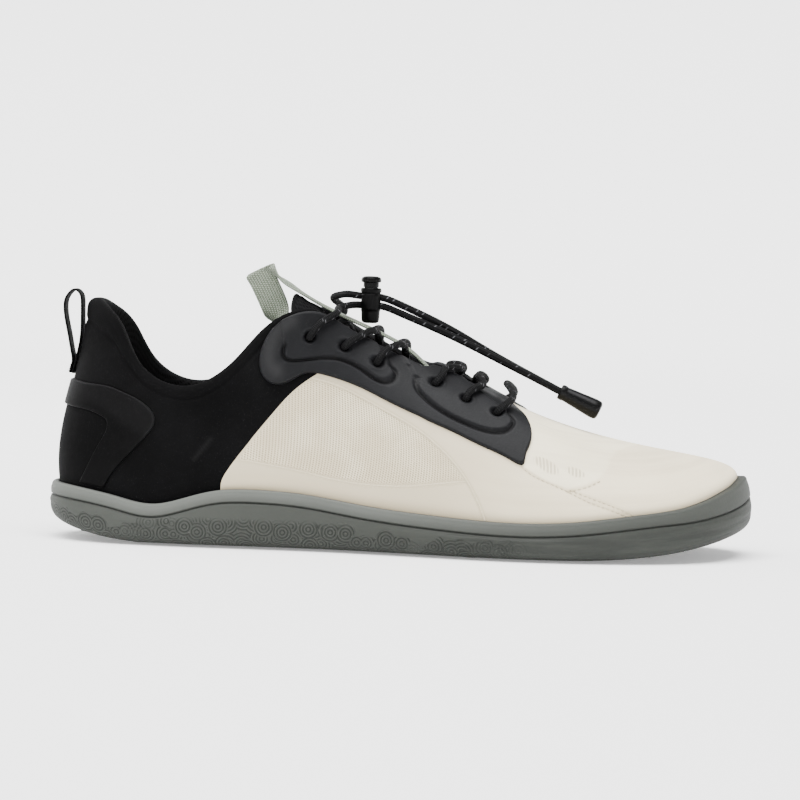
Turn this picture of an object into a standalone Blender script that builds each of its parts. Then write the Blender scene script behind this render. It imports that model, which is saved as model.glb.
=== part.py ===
# Barefoot shoe, right foot: toe at +X, lateral side at -Y, standing on z = 0.
# Lengths are in metres. The tables hold shares of the named sizes.
import math
from collections import namedtuple

import bmesh
import bpy
import numpy as np
from mathutils import Vector

# Main sizes
SHOE_LENGTH = 0.284
BALL_WIDTH = 0.106
HEEL_WIDTH = 0.070
SIDE_HEIGHT = 0.0234
TOE_WRAP_HEIGHT = 0.0320
COLLAR_HEIGHT = 0.0968
INSTEP_HEIGHT = 0.0948
TOE_HEIGHT = 0.0400
COLLAR_WIDTH = 0.0630
THROAT_WIDTH = 0.0410
HEEL_LIFT = 0.0095
TOE_SPRING = 0.0125

# Walls and thicknesses
UPPER_WALL = 0.0020
COLLAR_PADDING = 0.0060
SOLE_FLOOR = 0.0045
SOLE_WALL = 0.0026
INSOLE_THICKNESS = 0.0030
TONGUE_THICKNESS = 0.0036
EYESTAY_THICKNESS = 0.0013
ISLAND_RISE = 0.0009
COUNTER_THICKNESS = 0.0010
STRAP_THICKNESS = 0.0012
STRAP_WIDTH = 0.0105
TAPE_THICKNESS = 0.0009
TAPE_WIDTH = 0.0095

# Sole edge
EDGE_ROUND = 0.0070
GROOVE_DROP = 0.0053
GROOVE_DEPTH = 0.0008
TOE_LEAN = 0.0028

# Lacing and cord lock
CORD_DIAMETER = 0.0029
EYELET_DIAMETER = 0.0040
CORD_SPACING = 0.0035
LOCK_DIAMETER = 0.0084
LOCK_WALL = 0.00075
LOCK_HEIGHT = 0.0142
LOCK_FOOT = 0.0055
BUTTON_HEIGHT = 0.0048
BUTTON_HEAD = 0.0025
BUTTON_TRAVEL = 0.0020
CORD_END_LENGTH = 0.0180
CORD_END_DIAMETER = 0.0080

# Fits
CLEARANCE = 0.0003
OVERLAY_GAP = 0.0005
COLUMNS = 80

# Outline of the sole from above. "at" is the station's share of the length, lateral and
# medial are shares of the half width, and ball is the weight of ball width over heel width.
Plan = namedtuple("Plan", "at lateral medial ball")
PLAN = [
    Plan(0.000, 0.000, 0.000, 0.0),
    Plan(0.030, 0.655, 0.655, 0.0),
    Plan(0.120, 0.985, 0.975, 0.0),
    Plan(0.250, 1.030, 0.950, 0.1),
    Plan(0.400, 0.930, 0.740, 0.4),
    Plan(0.550, 0.930, 0.830, 0.9),
    Plan(0.660, 1.000, 0.965, 1.0),
    Plan(0.750, 0.985, 1.000, 1.0),
    Plan(0.850, 0.860, 0.960, 1.0),
    Plan(0.930, 0.620, 0.800, 1.0),
    Plan(0.980, 0.250, 0.545, 1.0),
    Plan(1.000, -0.200, 0.200, 1.0),
]

# Height of the sole's rim, a share of the side height, or of the toe wrap's by its weight.
Rim = namedtuple("Rim", "at height toe")
RIMS = [
    Rim(0.000, 0.955, 0.00),
    Rim(0.067, 0.890, 0.00),
    Rim(0.110, 0.795, 0.00),
    Rim(0.165, 0.705, 0.00),
    Rim(0.210, 0.840, 0.00),
    Rim(0.250, 0.965, 0.00),
    Rim(0.300, 1.000, 0.00),
    Rim(0.380, 0.940, 0.00),
    Rim(0.450, 0.815, 0.00),
    Rim(0.550, 0.700, 0.00),
    Rim(0.660, 0.637, 0.00),
    Rim(0.750, 0.680, 0.00),
    Rim(0.830, 0.800, 0.00),
    Rim(0.900, 0.920, 0.00),
    Rim(0.955, 1.050, 0.15),
    Rim(0.985, 1.040, 0.55),
    Rim(1.000, 1.000, 1.00),
]

# Ribs of the upper, from the rim at station "base" to the opening's edge at station "edge".
# width is a share of the half opening, height of the top; front weighs throat over collar.
# flare and reach are shares of the length, low and high are the heights of the rib's two
# handles, toe weighs the toe height in them, and trim shortens the rib for the lace dip.
Rib = namedtuple("Rib", "base edge width front height pad flare low reach high toe trim")
RIBS = [
    Rib(0.000, 0.0455, 0.000, 0.00, 1.000, 1.00, 0.0123, 0.486, 0.004, 0.677, 0.0, 0.00),
    Rib(0.010, 0.0520, 0.270, 0.00, 0.996, 0.97, 0.0120, 0.480, 0.004, 0.675, 0.0, 0.00),
    Rib(0.040, 0.0700, 0.524, 0.00, 0.966, 0.90, 0.0100, 0.450, 0.004, 0.655, 0.0, 0.00),
    Rib(0.090, 0.1000, 0.746, 0.00, 0.884, 0.75, 0.0080, 0.410, 0.005, 0.600, 0.0, 0.00),
    Rib(0.140, 0.1320, 0.889, 0.00, 0.744, 0.62, 0.0070, 0.360, 0.006, 0.520, 0.0, 0.00),
    Rib(0.200, 0.1800, 0.968, 0.00, 0.659, 0.54, 0.0060, 0.335, 0.006, 0.475, 0.0, 0.00),
    Rib(0.260, 0.2250, 1.000, 0.00, 0.670, 0.54, 0.0050, 0.345, 0.006, 0.490, 0.0, 0.00),
    Rib(0.320, 0.2680, 1.020, 0.15, 0.762, 0.46, 0.0040, 0.400, 0.008, 0.560, 0.0, 0.00),
    Rib(0.380, 0.3080, 1.115, 0.50, 0.903, 0.25, 0.0030, 0.420, 0.012, 0.640, 0.0, 0.00),
    Rib(0.430, 0.3450, 1.127, 0.75, 0.983, 0.10, 0.0020, 0.440, 0.020, 0.700, 0.0, 0.00),
    Rib(0.480, 0.3850, 1.146, 1.00, 0.997, 0.00, 0.0020, 0.450, 0.030, 0.735, 0.0, 0.00),
    Rib(0.530, 0.4250, 1.049, 1.00, 0.928, 0.00, 0.0010, 0.430, 0.040, 0.710, 0.0, 0.00),
    Rib(0.580, 0.4650, 0.966, 1.00, 0.867, 0.00, 0.0010, 0.400, 0.048, 0.690, 0.0, 0.00),
    Rib(0.625, 0.5000, 0.902, 1.00, 0.826, 0.00, 0.0000, 0.375, 0.053, 0.665, 0.0, 0.04),
    Rib(0.660, 0.5200, 0.868, 1.00, 0.802, 0.00, 0.0000, 0.355, 0.060, 0.650, 0.0, 0.06),
    Rib(0.700, 0.5420, 0.829, 1.00, 0.778, 0.00, 0.0000, 0.400, 0.066, 0.700, 0.2, 0.00),
    Rib(0.750, 0.5670, 0.780, 1.00, 0.748, 0.00, 0.0000, 0.500, 0.078, 0.835, 0.5, 0.00),
    Rib(0.810, 0.5910, 0.690, 1.00, 0.716, 0.00, -0.0010, 0.670, 0.104, 1.015, 0.8, 0.00),
    Rib(0.880, 0.6090, 0.505, 1.00, 0.696, 0.00, -0.0030, 0.900, 0.132, 1.085, 1.0, 0.00),
    Rib(0.950, 0.6170, 0.268, 1.00, 0.688, 0.00, -0.0060, 1.000, 0.157, 0.985, 1.0, 0.00),
    Rib(1.000, 0.6190, 0.000, 1.00, 0.686, 0.00, -0.0070, 1.075, 0.172, 0.935, 1.0, 0.00),
]

# Eyestay from its rear lobe to the centre of the throat's front. (at, up) is its lower edge
# on the ribs, top is the station of its upper edge, island is where across it the raised
# island begins, and rise is the island's height there.
Stay = namedtuple("Stay", "at up top island rise")
STAYS = [
    Stay(0.398, 0.992, 0.413, 0.60, 0.0),
    Stay(0.383, 0.968, 0.424, 0.65, 0.0),
    Stay(0.370, 0.920, 0.430, 0.70, 0.0),
    Stay(0.364, 0.850, 0.436, 0.62, 0.1),
    Stay(0.367, 0.770, 0.442, 0.48, 0.5),
    Stay(0.380, 0.710, 0.450, 0.34, 0.9),
    Stay(0.400, 0.692, 0.460, 0.30, 1.0),
    Stay(0.424, 0.703, 0.470, 0.25, 1.0),
    Stay(0.447, 0.683, 0.482, 0.24, 1.0),
    Stay(0.478, 0.641, 0.505, 0.27, 1.0),
    Stay(0.517, 0.610, 0.535, 0.29, 1.0),
    Stay(0.558, 0.565, 0.575, 0.39, 1.0),
    Stay(0.578, 0.546, 0.597, 0.70, 0.1),
    Stay(0.597, 0.528, 0.620, 0.56, 0.6),
    Stay(0.638, 0.505, 0.665, 0.27, 1.0),
    Stay(0.678, 0.440, 0.710, 0.26, 1.0),
    Stay(0.698, 0.378, 0.745, 0.30, 1.0),
    Stay(0.711, 0.362, 0.775, 0.33, 1.0),
    Stay(0.727, 0.421, 0.800, 0.34, 1.0),
    Stay(0.749, 0.493, 0.820, 0.38, 1.0),
    Stay(0.785, 0.615, 0.850, 0.50, 0.8),
    Stay(0.825, 0.745, 0.885, 0.66, 0.2),
    Stay(0.880, 0.855, 0.925, 0.60, 0.0),
    Stay(0.951, 0.924, 0.970, 0.50, 0.0),
    Stay(1.000, 0.940, 1.000, 0.50, 0.0),
]

# Heel counter from the foot of its leg to the centre of the heel: its window's edge and its
# outer edge, each a station and a height on the ribs.
Counter = namedtuple("Counter", "inner inner_up outer outer_up")
COUNTERS = [
    Counter(0.048, 0.030, 0.087, 0.030),
    Counter(0.057, 0.110, 0.098, 0.130),
    Counter(0.066, 0.200, 0.115, 0.260),
    Counter(0.075, 0.293, 0.135, 0.399),
    Counter(0.084, 0.380, 0.155, 0.551),
    Counter(0.087, 0.440, 0.167, 0.656),
    Counter(0.084, 0.475, 0.168, 0.738),
    Counter(0.073, 0.482, 0.157, 0.785),
    Counter(0.060, 0.482, 0.136, 0.782),
    Counter(0.046, 0.478, 0.107, 0.726),
    Counter(0.030, 0.468, 0.067, 0.660),
    Counter(0.012, 0.455, 0.024, 0.618),
    Counter(0.000, 0.450, 0.000, 0.605),
]

# Eyelets on the ribs, from the top pair to the front pair. over is the station where the
# lace leaves across the near edge, and under is where it passes below the far one.
Eyelet = namedtuple("Eyelet", "at up over under")
EYELETS = [
    Eyelet(0.450, 0.864, 0.498, 0.532),
    Eyelet(0.502, 0.836, 0.555, 0.592),
    Eyelet(0.553, 0.817, 0.602, 0.632),
    Eyelet(0.653, 0.856, 0.757, 0.745),
    Eyelet(0.700, 0.742, 0.845, 0.800),
    Eyelet(0.745, 0.686, 0.930, 0.960),
]

# Centre line of the tongue's top face: station, height as a share of the instep height,
# half width as a share of the throat width, and the droop of its sides.
Tongue = namedtuple("Tongue", "at height half droop")
TONGUES = [
    Tongue(0.3445, 1.062, 0.36, 0.055),
    Tongue(0.3490, 1.055, 0.45, 0.070),
    Tongue(0.3590, 1.038, 0.50, 0.080),
    Tongue(0.3770, 1.004, 0.53, 0.090),
    Tongue(0.4050, 0.932, 0.54, 0.100),
    Tongue(0.4600, 0.822, 0.54, 0.110),
    Tongue(0.5080, 0.754, 0.50, 0.120),
    Tongue(0.5430, 0.722, 0.46, 0.125),
    Tongue(0.5880, 0.675, 0.38, 0.115),
]

# Strap: taut front leg above the tongue, a bend at the top, and the rear leg that goes down
# inside the collar. twist turns its width from across the foot to lengthways.
Strap = namedtuple("Strap", "at height twist")
STRAPS = [
    Strap(0.5430, 0.7400, 0.00),
    Strap(0.5080, 0.8320, 0.00),
    Strap(0.4570, 0.9130, 0.00),
    Strap(0.3920, 0.9980, 0.00),
    Strap(0.3490, 1.0700, 0.00),
    Strap(0.3130, 1.1470, 0.00),
    Strap(0.3050, 1.1660, 0.00),
    Strap(0.2975, 1.1740, 0.00),
    Strap(0.2905, 1.1650, 0.00),
    Strap(0.2880, 1.1440, 0.00),
    Strap(0.2895, 1.1180, 0.40),
    Strap(0.2935, 1.0900, 0.85),
    Strap(0.2995, 1.0550, 1.00),
    Strap(0.3060, 1.0150, 1.00),
    Strap(0.3105, 0.9820, 0.80),
    Strap(0.3140, 0.9540, 0.35),
    Strap(0.3180, 0.9300, 0.05),
    Strap(0.3260, 0.9080, 0.00),
    Strap(0.3390, 0.8950, 0.00),
    Strap(0.3540, 0.8895, 0.00),
    Strap(0.3720, 0.8840, 0.00),
]

# Free part of the heel loop: station, and height as a share of the collar height.
Loop = namedtuple("Loop", "at height")
LOOPS = [
    Loop(0.0255, 0.7750),
    Loop(0.0212, 0.8392),
    Loop(0.0163, 0.9050),
    Loop(0.0143, 0.9500),
    Loop(0.0152, 0.9850),
    Loop(0.0199, 1.0117),
    Loop(0.0284, 1.0285),
    Loop(0.0355, 1.0150),
    Loop(0.0388, 0.9728),
    Loop(0.0393, 0.8916),
    Loop(0.0377, 0.8102),
]

# Cord lock and the free cords, as shares of the length, half ball width and instep height.
LOCK_AT = 0.450
LOCK_LEVEL = 1.0385
Route = namedtuple("Route", "at side height")
LATERAL_CORD = [
    Route(0.4080, -0.240, 1.0060),
    Route(0.4200, -0.090, 1.0170),
    Route(0.4320, -0.006, 1.0205),
    Route(0.4440, 0.000, 1.0200),
    Route(0.4560, 0.000, 1.0200),
    Route(0.4680, 0.000, 1.0155),
    Route(0.4880, -0.006, 0.9950),
    Route(0.5200, -0.014, 0.9570),
    Route(0.5640, -0.030, 0.9030),
    Route(0.6100, -0.032, 0.8400),
    Route(0.6550, -0.031, 0.7760),
    Route(0.6900, -0.030, 0.7260),
    Route(0.7220, -0.029, 0.6790),
]
MEDIAL_CORD = [
    Route(0.3930, 0.270, 1.0420),
    Route(0.4060, 0.110, 1.0600),
    Route(0.4190, 0.020, 1.0640),
    Route(0.4320, 0.000, 1.0600),
    Route(0.4440, 0.000, 1.0570),
    Route(0.4560, 0.000, 1.0570),
    Route(0.4680, 0.000, 1.0520),
    Route(0.4880, 0.004, 1.0310),
    Route(0.5200, 0.012, 0.9900),
    Route(0.5640, 0.028, 0.9280),
    Route(0.6100, 0.032, 0.8520),
    Route(0.6550, 0.032, 0.7800),
    Route(0.6900, 0.030, 0.7270),
    Route(0.7220, 0.029, 0.6790),
]
CORD_END_TO = Route(0.7810, 0.000, 0.5960)

# Worked out from the sizes above
CORD_RADIUS = CORD_DIAMETER / 2
RIM_INSET = 0.0006 + SOLE_WALL
FLOOR_INSET = RIM_INSET + 0.0008
STAY_TOP = OVERLAY_GAP + EYESTAY_THICKNESS + ISLAND_RISE
FULL_TURN = 2 * math.pi


def clear_scene():
    for item in list(bpy.data.objects):
        bpy.data.objects.remove(item, do_unlink=True)


def material(name, color, roughness, metallic=0.0):
    made = bpy.data.materials.new(name)
    made.use_nodes = True
    shader = made.node_tree.nodes["Principled BSDF"]
    shader.inputs["Base Color"].default_value = (*color, 1.0)
    shader.inputs["Roughness"].default_value = roughness
    shader.inputs["Metallic"].default_value = metallic
    made.diffuse_color = (*color, 1.0)
    return made


def mix(a, b, weight):
    return a + (b - a) * weight


def ease(value):
    share = np.clip(value, 0.0, 1.0)
    return share * share * (3 - 2 * share)


def turn_at(share):
    # Turn round the sole, 0 at the heel and pi at the toe, for a station's share.
    return math.acos(1 - 2 * share)


def spline(knots, values, period=None):
    # Natural cubic through the values, or a closed one when a period is given.
    x = np.array(knots, float)
    y = np.array(values, float).reshape(len(x), -1)
    if period:
        x = np.append(x, x[0] + period)
        y = np.vstack([y, y[:1]])
    h = np.diff(x)
    slope = np.diff(y, axis=0) / h[:, None]
    count = len(x)
    a = np.zeros((count, count))
    b = np.zeros((count, y.shape[1]))
    for i in range(1, count - 1):
        a[i, i - 1:i + 2] = h[i - 1], 2 * (h[i - 1] + h[i]), h[i]
        b[i] = 6 * (slope[i] - slope[i - 1])
    if period:
        a[0, 0], a[0, -1] = 1, -1
        a[-1, 0], a[-1, 1] = 2 * h[0], h[0]
        a[-1, -2], a[-1, -1] = h[-1], 2 * h[-1]
        b[-1] = 6 * (slope[0] - slope[-1])
    else:
        a[0, 0] = a[-1, -1] = 1
    bend = np.linalg.solve(a, b)

    def read(at):
        t = np.asarray(at, float)
        if period:
            t = x[0] + (t - x[0]) % period
        k = np.clip(np.searchsorted(x, t, side="right") - 1, 0, count - 2)
        left = (x[k + 1] - t)[..., None]
        right = (t - x[k])[..., None]
        g = h[k][..., None]
        arc = (bend[k] * left ** 3 + bend[k + 1] * right ** 3) / (6 * g)
        return arc + (y[k] / g - bend[k] * g / 6) * left + (y[k + 1] / g - bend[k + 1] * g / 6) * right

    return read


def around(rows, read_row):
    # Closed spline round the shoe: lateral side from heel to toe, then back on the medial.
    knots = [turn_at(row[0]) for row in rows]
    values = [read_row(row, -1) for row in rows]
    for row in reversed(rows[1:-1]):
        knots.append(FULL_TURN - turn_at(row[0]))
        values.append(read_row(row, 1))
    return spline(knots, values, FULL_TURN)


def read_plan(row, side):
    half = mix(HEEL_WIDTH, BALL_WIDTH, row.ball) / 2
    return -row.lateral * half if side < 0 else row.medial * half


def read_rim(row, side):
    return row.height * mix(SIDE_HEIGHT, TOE_WRAP_HEIGHT, row.toe)


def read_rib(row, side):
    half = mix(COLLAR_WIDTH, THROAT_WIDTH, row.front) / 2
    top = mix(COLLAR_HEIGHT, INSTEP_HEIGHT, row.front)
    handle = mix(top, TOE_HEIGHT, row.toe)
    return (row.edge * SHOE_LENGTH, side * row.width * half, row.height * top, row.pad * COLLAR_PADDING,
            row.flare * SHOE_LENGTH, row.low * handle, row.reach * SHOE_LENGTH, row.high * handle, row.trim)


PLAN_CURVE = around(PLAN, read_plan)
RIM_CURVE = around(RIMS, read_rim)
RIB_CURVE = around(RIBS, read_rib)
WIDEST = PLAN_CURVE(np.linspace(0, FULL_TURN, 721))[:, 0]


def plan_point(turn):
    # The widest points are drawn out to the ball width, so the outline is centred on y = 0.
    y = PLAN_CURVE(turn)[..., 0]
    y = y * BALL_WIDTH / 2 / np.where(y < 0, -WIDEST.min(), WIDEST.max())
    return np.stack([-np.cos(turn) * SHOE_LENGTH / 2, y], -1)


def outline(turn, inset=0.0):
    turn = np.asarray(turn, float)
    along = plan_point(turn + 1e-4) - plan_point(turn - 1e-4)
    along /= np.linalg.norm(along, axis=-1, keepdims=True)
    inward = np.stack([-along[..., 1], along[..., 0]], -1)
    return plan_point(turn) + inward * np.asarray(inset)[..., None]


def bottom_level(x):
    share = x / SHOE_LENGTH + 0.5
    heel = HEEL_LIFT * np.clip((0.16 - share) / 0.16, 0, 1) ** 2.2
    toe = TOE_SPRING * np.clip((share - 0.70) / 0.30, 0, 1) ** 2.8
    return heel + toe


def floor_level(x):
    return bottom_level(x) + SOLE_FLOOR


def toe_lean(turn):
    share = 0.5 - np.cos(turn) / 2
    return TOE_LEAN * ease((share - 0.86) / 0.14)


def roll_height(thick):
    # How far the rounded edge stands above the outer face's last ring.
    return 0.6 * thick


def stand_on(flat, level):
    return np.concatenate([flat, level[..., None]], -1)


def rib_points(turn):
    # Feather point inside the cup, point at the rim, two handles and the opening's edge.
    c = RIB_CURVE(turn)
    lean = toe_lean(turn)
    start = stand_on(outline(turn, RIM_INSET + CLEARANCE + lean), RIM_CURVE(turn)[..., 0])
    feather = outline(turn, FLOOR_INSET + CLEARANCE + 0.6 * lean)
    feather = stand_on(feather, floor_level(feather[..., 0]) + CLEARANCE)
    edge_level = c[..., 2] - roll_height(UPPER_WALL + c[..., 3])
    edge = np.stack([c[..., 0] - SHOE_LENGTH / 2, c[..., 1], edge_level], -1)
    away = start[..., :2] - edge[..., :2]
    away = away / np.linalg.norm(away, axis=-1, keepdims=True)
    side = outline(turn) - outline(turn, 0.001)
    side = side / np.linalg.norm(side, axis=-1, keepdims=True)
    low = stand_on(start[..., :2] + side * c[..., 4:5], c[..., 5])
    high = stand_on(edge[..., :2] + away * c[..., 6:7], c[..., 7])
    return feather, start, low, high, edge, c[..., 8]


def upper_face(turn, up):
    # Outer face of the upper: up is -1 at the feather, 0 at the rim and 1 at the opening.
    turn, up = np.broadcast_arrays(np.asarray(turn, float), np.asarray(up, float))
    feather, start, low, high, edge, trim = rib_points(turn)
    u = (np.clip(up, 0, 1.2) * (1 - trim))[..., None]
    down = np.clip(-up, 0, 1)[..., None]
    rib = (1 - u) ** 3 * start + 3 * (1 - u) ** 2 * u * low + 3 * (1 - u) * u * u * high + u ** 3 * edge
    return rib + (feather - start) * down


def upper_normal(turn, up):
    step = 2e-4
    lower = np.where(np.asarray(up) > 0, np.asarray(up) - step, up)
    across = upper_face(turn + step, up) - upper_face(turn - step, up)
    rise = upper_face(turn, lower + step) - upper_face(turn, lower)
    out = np.cross(across, rise)
    return out / np.linalg.norm(out, axis=-1, keepdims=True)


def upper_offset(turn, up, lift):
    return upper_face(turn, up) + upper_normal(turn, up) * np.asarray(lift)[..., None]


def upper_thickness(turn, up):
    return UPPER_WALL + RIB_CURVE(turn)[..., 3] * ease((np.asarray(up) - 0.30) / 0.60)


def smooth_line(points, count):
    # Evenly spaced points on a smooth curve. Columns after the third are carried along.
    points = np.array(points, float)
    steps = np.linalg.norm(np.diff(points[:, :3], axis=0), axis=1)
    knots = np.concatenate([[0.0], np.cumsum(steps)])
    return spline(knots, points)(np.linspace(0, knots[-1], count))


def new_object(name, bm, mat, smooth=True):
    mesh = bpy.data.meshes.new(name)
    bmesh.ops.recalc_face_normals(bm, faces=bm.faces)
    bm.to_mesh(mesh)
    bm.free()
    if smooth:
        mesh.shade_smooth()
        mesh.set_sharp_from_angle(angle=math.radians(40))
    mesh.materials.append(mat)
    made = bpy.data.objects.new(name, mesh)
    bpy.context.scene.collection.objects.link(made)
    return made


def add_rings(bm, rings):
    return [[bm.verts.new(point) for point in ring] for ring in rings]


def bridge(bm, first, second, closed=True):
    count = len(first)
    for i in range(count if closed else count - 1):
        j = (i + 1) % count
        bm.faces.new((first[i], first[j], second[j], second[i]))


def ladder(bm, ring):
    # Closes a ring that runs heel, lateral, toe, medial with rungs across the foot.
    count = len(ring)
    half = count // 2
    bm.faces.new((ring[0], ring[1], ring[-1]))
    for i in range(1, half - 1):
        bm.faces.new((ring[i], ring[i + 1], ring[count - i - 1], ring[count - i]))
    bm.faces.new((ring[half - 1], ring[half], ring[half + 1]))


def ring_turns():
    return np.arange(COLUMNS) * FULL_TURN / COLUMNS


def make_sole(mat):
    turn = ring_turns()
    lean = toe_lean(turn)
    rim = RIM_CURVE(turn)[..., 0]
    groove = rim - GROOVE_DROP * (1 + 0.5 * lean / TOE_LEAN)
    foot = outline(turn, EDGE_ROUND)
    ground = bottom_level(foot[..., 0])
    rings = [
        stand_on(foot, ground),
        stand_on(outline(turn, 0.42 * EDGE_ROUND), ground + 0.0017),
        stand_on(outline(turn, 0.14 * EDGE_ROUND), ground + 0.0046),
        stand_on(outline(turn), mix(ground, groove, 0.70)),
        stand_on(outline(turn, 0.0002 + 0.10 * lean), groove - 0.0008),
        stand_on(outline(turn, 0.0002 + GROOVE_DEPTH + 0.12 * lean), groove),
        stand_on(outline(turn, 0.0003 + 0.15 * lean), groove + 0.0007),
        stand_on(outline(turn, 0.0005 + 0.60 * lean), rim - 0.0016),
        stand_on(outline(turn, 0.0012 + 0.90 * lean), rim - 0.0002),
        stand_on(outline(turn, RIM_INSET + lean), rim),
    ]
    inner = outline(turn, FLOOR_INSET + 0.6 * lean)
    rings.append(stand_on(inner, floor_level(inner[..., 0])))
    bm = bmesh.new()
    made = add_rings(bm, rings)
    for lower, upper in zip(made, made[1:]):
        bridge(bm, lower, upper)
    ladder(bm, made[0])
    ladder(bm, made[-1])
    return new_object("sole", bm, mat)


def make_insole(mat):
    turn = ring_turns()
    edge = FLOOR_INSET + 0.6 * toe_lean(turn) + 2 * CLEARANCE + UPPER_WALL
    flat = outline(turn, edge + 0.0002)
    seat = floor_level(flat[..., 0]) + CLEARANCE
    softer = outline(turn, edge + 0.0010)
    bm = bmesh.new()
    made = add_rings(bm, [
        stand_on(flat, seat),
        stand_on(flat, seat + 0.75 * INSOLE_THICKNESS),
        stand_on(softer, floor_level(softer[..., 0]) + CLEARANCE + INSOLE_THICKNESS),
    ])
    bridge(bm, made[0], made[1])
    bridge(bm, made[1], made[2])
    ladder(bm, made[0])
    ladder(bm, made[2])
    return new_object("insole", bm, mat)


def eyelet_cutter(name):
    # One pin through each eyelet, square to the upper's face.
    bm = bmesh.new()
    for row in EYELETS:
        for turn in (turn_at(row.at), FULL_TURN - turn_at(row.at)):
            centre = Vector(upper_face(turn, row.up))
            out = Vector(upper_normal(turn, row.up))
            spin = out.to_track_quat("Z", "Y").to_matrix().to_4x4()
            spin.translation = centre
            radius = EYELET_DIAMETER / 2
            bmesh.ops.create_cone(bm, cap_ends=True, segments=8, radius1=radius, radius2=radius,
                                  depth=2.6 * (UPPER_WALL + STAY_TOP), matrix=spin)
    cutter = new_object(name, bm, bpy.data.materials[0], smooth=False)
    cutter.hide_render = True
    cutter.display_type = "WIRE"
    return cutter


def cut_with(piece, cutter):
    cut = piece.modifiers.new("eyelets", "BOOLEAN")
    cut.operation = "DIFFERENCE"
    cut.solver = "EXACT"
    cut.object = cutter


def make_upper(mat, cutter):
    turn = ring_turns()
    outer_levels = [-1.0, 0.0, 0.10, 0.21, 0.33, 0.45, 0.57, 0.68, 0.78, 0.87, 0.94, 1.0]
    inner_levels = [1.0, 0.86, 0.69, 0.50, 0.30, 0.10, -1.0]
    rings = [upper_face(turn, level) for level in outer_levels]
    thick = upper_thickness(turn, 1.0)
    inward = -upper_normal(turn, 1.0)
    edge = upper_face(turn, 1.0)
    along = upper_face(turn, 1.0) - upper_face(turn, 0.97)
    along /= np.linalg.norm(along, axis=-1, keepdims=True)
    for share, height in ((0.18, 0.72), (0.50, 1.0), (0.82, 0.72)):
        across = inward * (share * thick)[:, None]
        rings.append(edge + across + along * (height * roll_height(thick))[:, None])
    for level in inner_levels:
        rings.append(upper_offset(turn, level, -upper_thickness(turn, level)))
    bm = bmesh.new()
    made = add_rings(bm, rings)
    for lower, upper in zip(made, made[1:] + made[:1]):
        bridge(bm, lower, upper)
    piece = new_object("upper", bm, mat)
    cut_with(piece, cutter)
    return piece


def make_shell(name, mat, low_turn, low_up, top_turn, top_up, shares, heights, inner):
    # A patch over the upper's own face, from its lower to its upper edge and back inside.
    bm = bmesh.new()
    rings = []
    for column in range(len(low_turn)):
        share = np.concatenate([shares[column], inner])
        turn = mix(low_turn[column], top_turn[column], share)
        up = mix(low_up[column], top_up[column], share)
        height = np.concatenate([heights[column], np.zeros(len(inner))])
        rings.append(upper_offset(turn, up, OVERLAY_GAP + height))
    loops = add_rings(bm, rings)
    for first, second in zip(loops, loops[1:]):
        bridge(bm, first, second)
    bm.faces.new(loops[0])
    bm.faces.new(loops[-1])
    bmesh.ops.triangulate(bm, faces=[f for f in bm.faces if len(f.verts) > 4])
    return new_object(name, bm, mat)


def make_eyestay(mat, cutter):
    values = [(turn_at(r.at), r.up, turn_at(r.top), r.island, r.rise) for r in STAYS]
    rows = spline(range(len(STAYS)), values)
    steps = np.linspace(0, len(STAYS) - 1, 29)
    half = rows(steps)
    half[-1, 0] = half[-1, 2] = math.pi
    other = half[-2::-1].copy()
    other[:, 0] = FULL_TURN - other[:, 0]
    other[:, 2] = FULL_TURN - other[:, 2]
    table = np.vstack([half, other])
    island = np.clip(table[:, 3], 0.15, 0.85)
    rise = ISLAND_RISE * np.clip(table[:, 4], 0, 1)
    up = np.clip(table[:, 1], 0.0, 0.99)
    zero = np.zeros(len(table))
    full = zero + EYESTAY_THICKNESS
    shares = np.stack([zero, zero + 0.04, 0.5 * island, island - 0.05, island, island + 0.06,
                       mix(island, 1, 0.55), zero + 1.0], -1)
    heights = np.stack([0.45 * full, full, full, full, 0.65 * full, full + rise, full + rise,
                        0.8 * full + 0.8 * rise], -1)
    piece = make_shell("eyestay", mat, table[:, 0], up, table[:, 2], zero + 1.0, shares, heights,
                       np.linspace(1, 0, 7))
    cut_with(piece, cutter)
    return piece


def make_counter(mat):
    rows = spline(range(len(COUNTERS)), [(turn_at(r.inner), r.inner_up, turn_at(r.outer), r.outer_up)
                                         for r in COUNTERS])
    half = rows(np.linspace(0, len(COUNTERS) - 1, 25))
    half[-1, 0] = half[-1, 2] = 0.0
    other = half[-2::-1] * (-1, 1, -1, 1)
    table = np.vstack([half, other])
    count = len(table)
    shares = np.tile([0.0, 0.08, 0.92, 1.0], (count, 1))
    heights = np.tile([0.4, 1.0, 1.0, 0.4], (count, 1)) * COUNTER_THICKNESS
    return make_shell("heel_counter", mat, table[:, 0], table[:, 1], table[:, 2], table[:, 3],
                      shares, heights, np.linspace(1, 0, 5))


def tongue_rows():
    # Station x, height, half width and droop. The last rows run under the vamp.
    rows = [((r.at - 0.5) * SHOE_LENGTH, r.height * INSTEP_HEIGHT, r.half * THROAT_WIDTH,
             r.droop * INSTEP_HEIGHT) for r in TONGUES]
    for up, half, droop in ((0.985, 0.27, 0.030), (0.90, 0.22, 0.020)):
        under = upper_offset(math.pi, up, -(UPPER_WALL + CLEARANCE))
        rows.append((under[0], under[2], half * THROAT_WIDTH, droop * INSTEP_HEIGHT))
    return rows


def tongue_level(x):
    # Height of the top face on the centre line.
    rows = tongue_rows()
    line = spline(range(len(rows)), rows)(np.linspace(0, len(rows) - 1, 101))
    return float(np.interp(x, line[:, 0], line[:, 1]))


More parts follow.
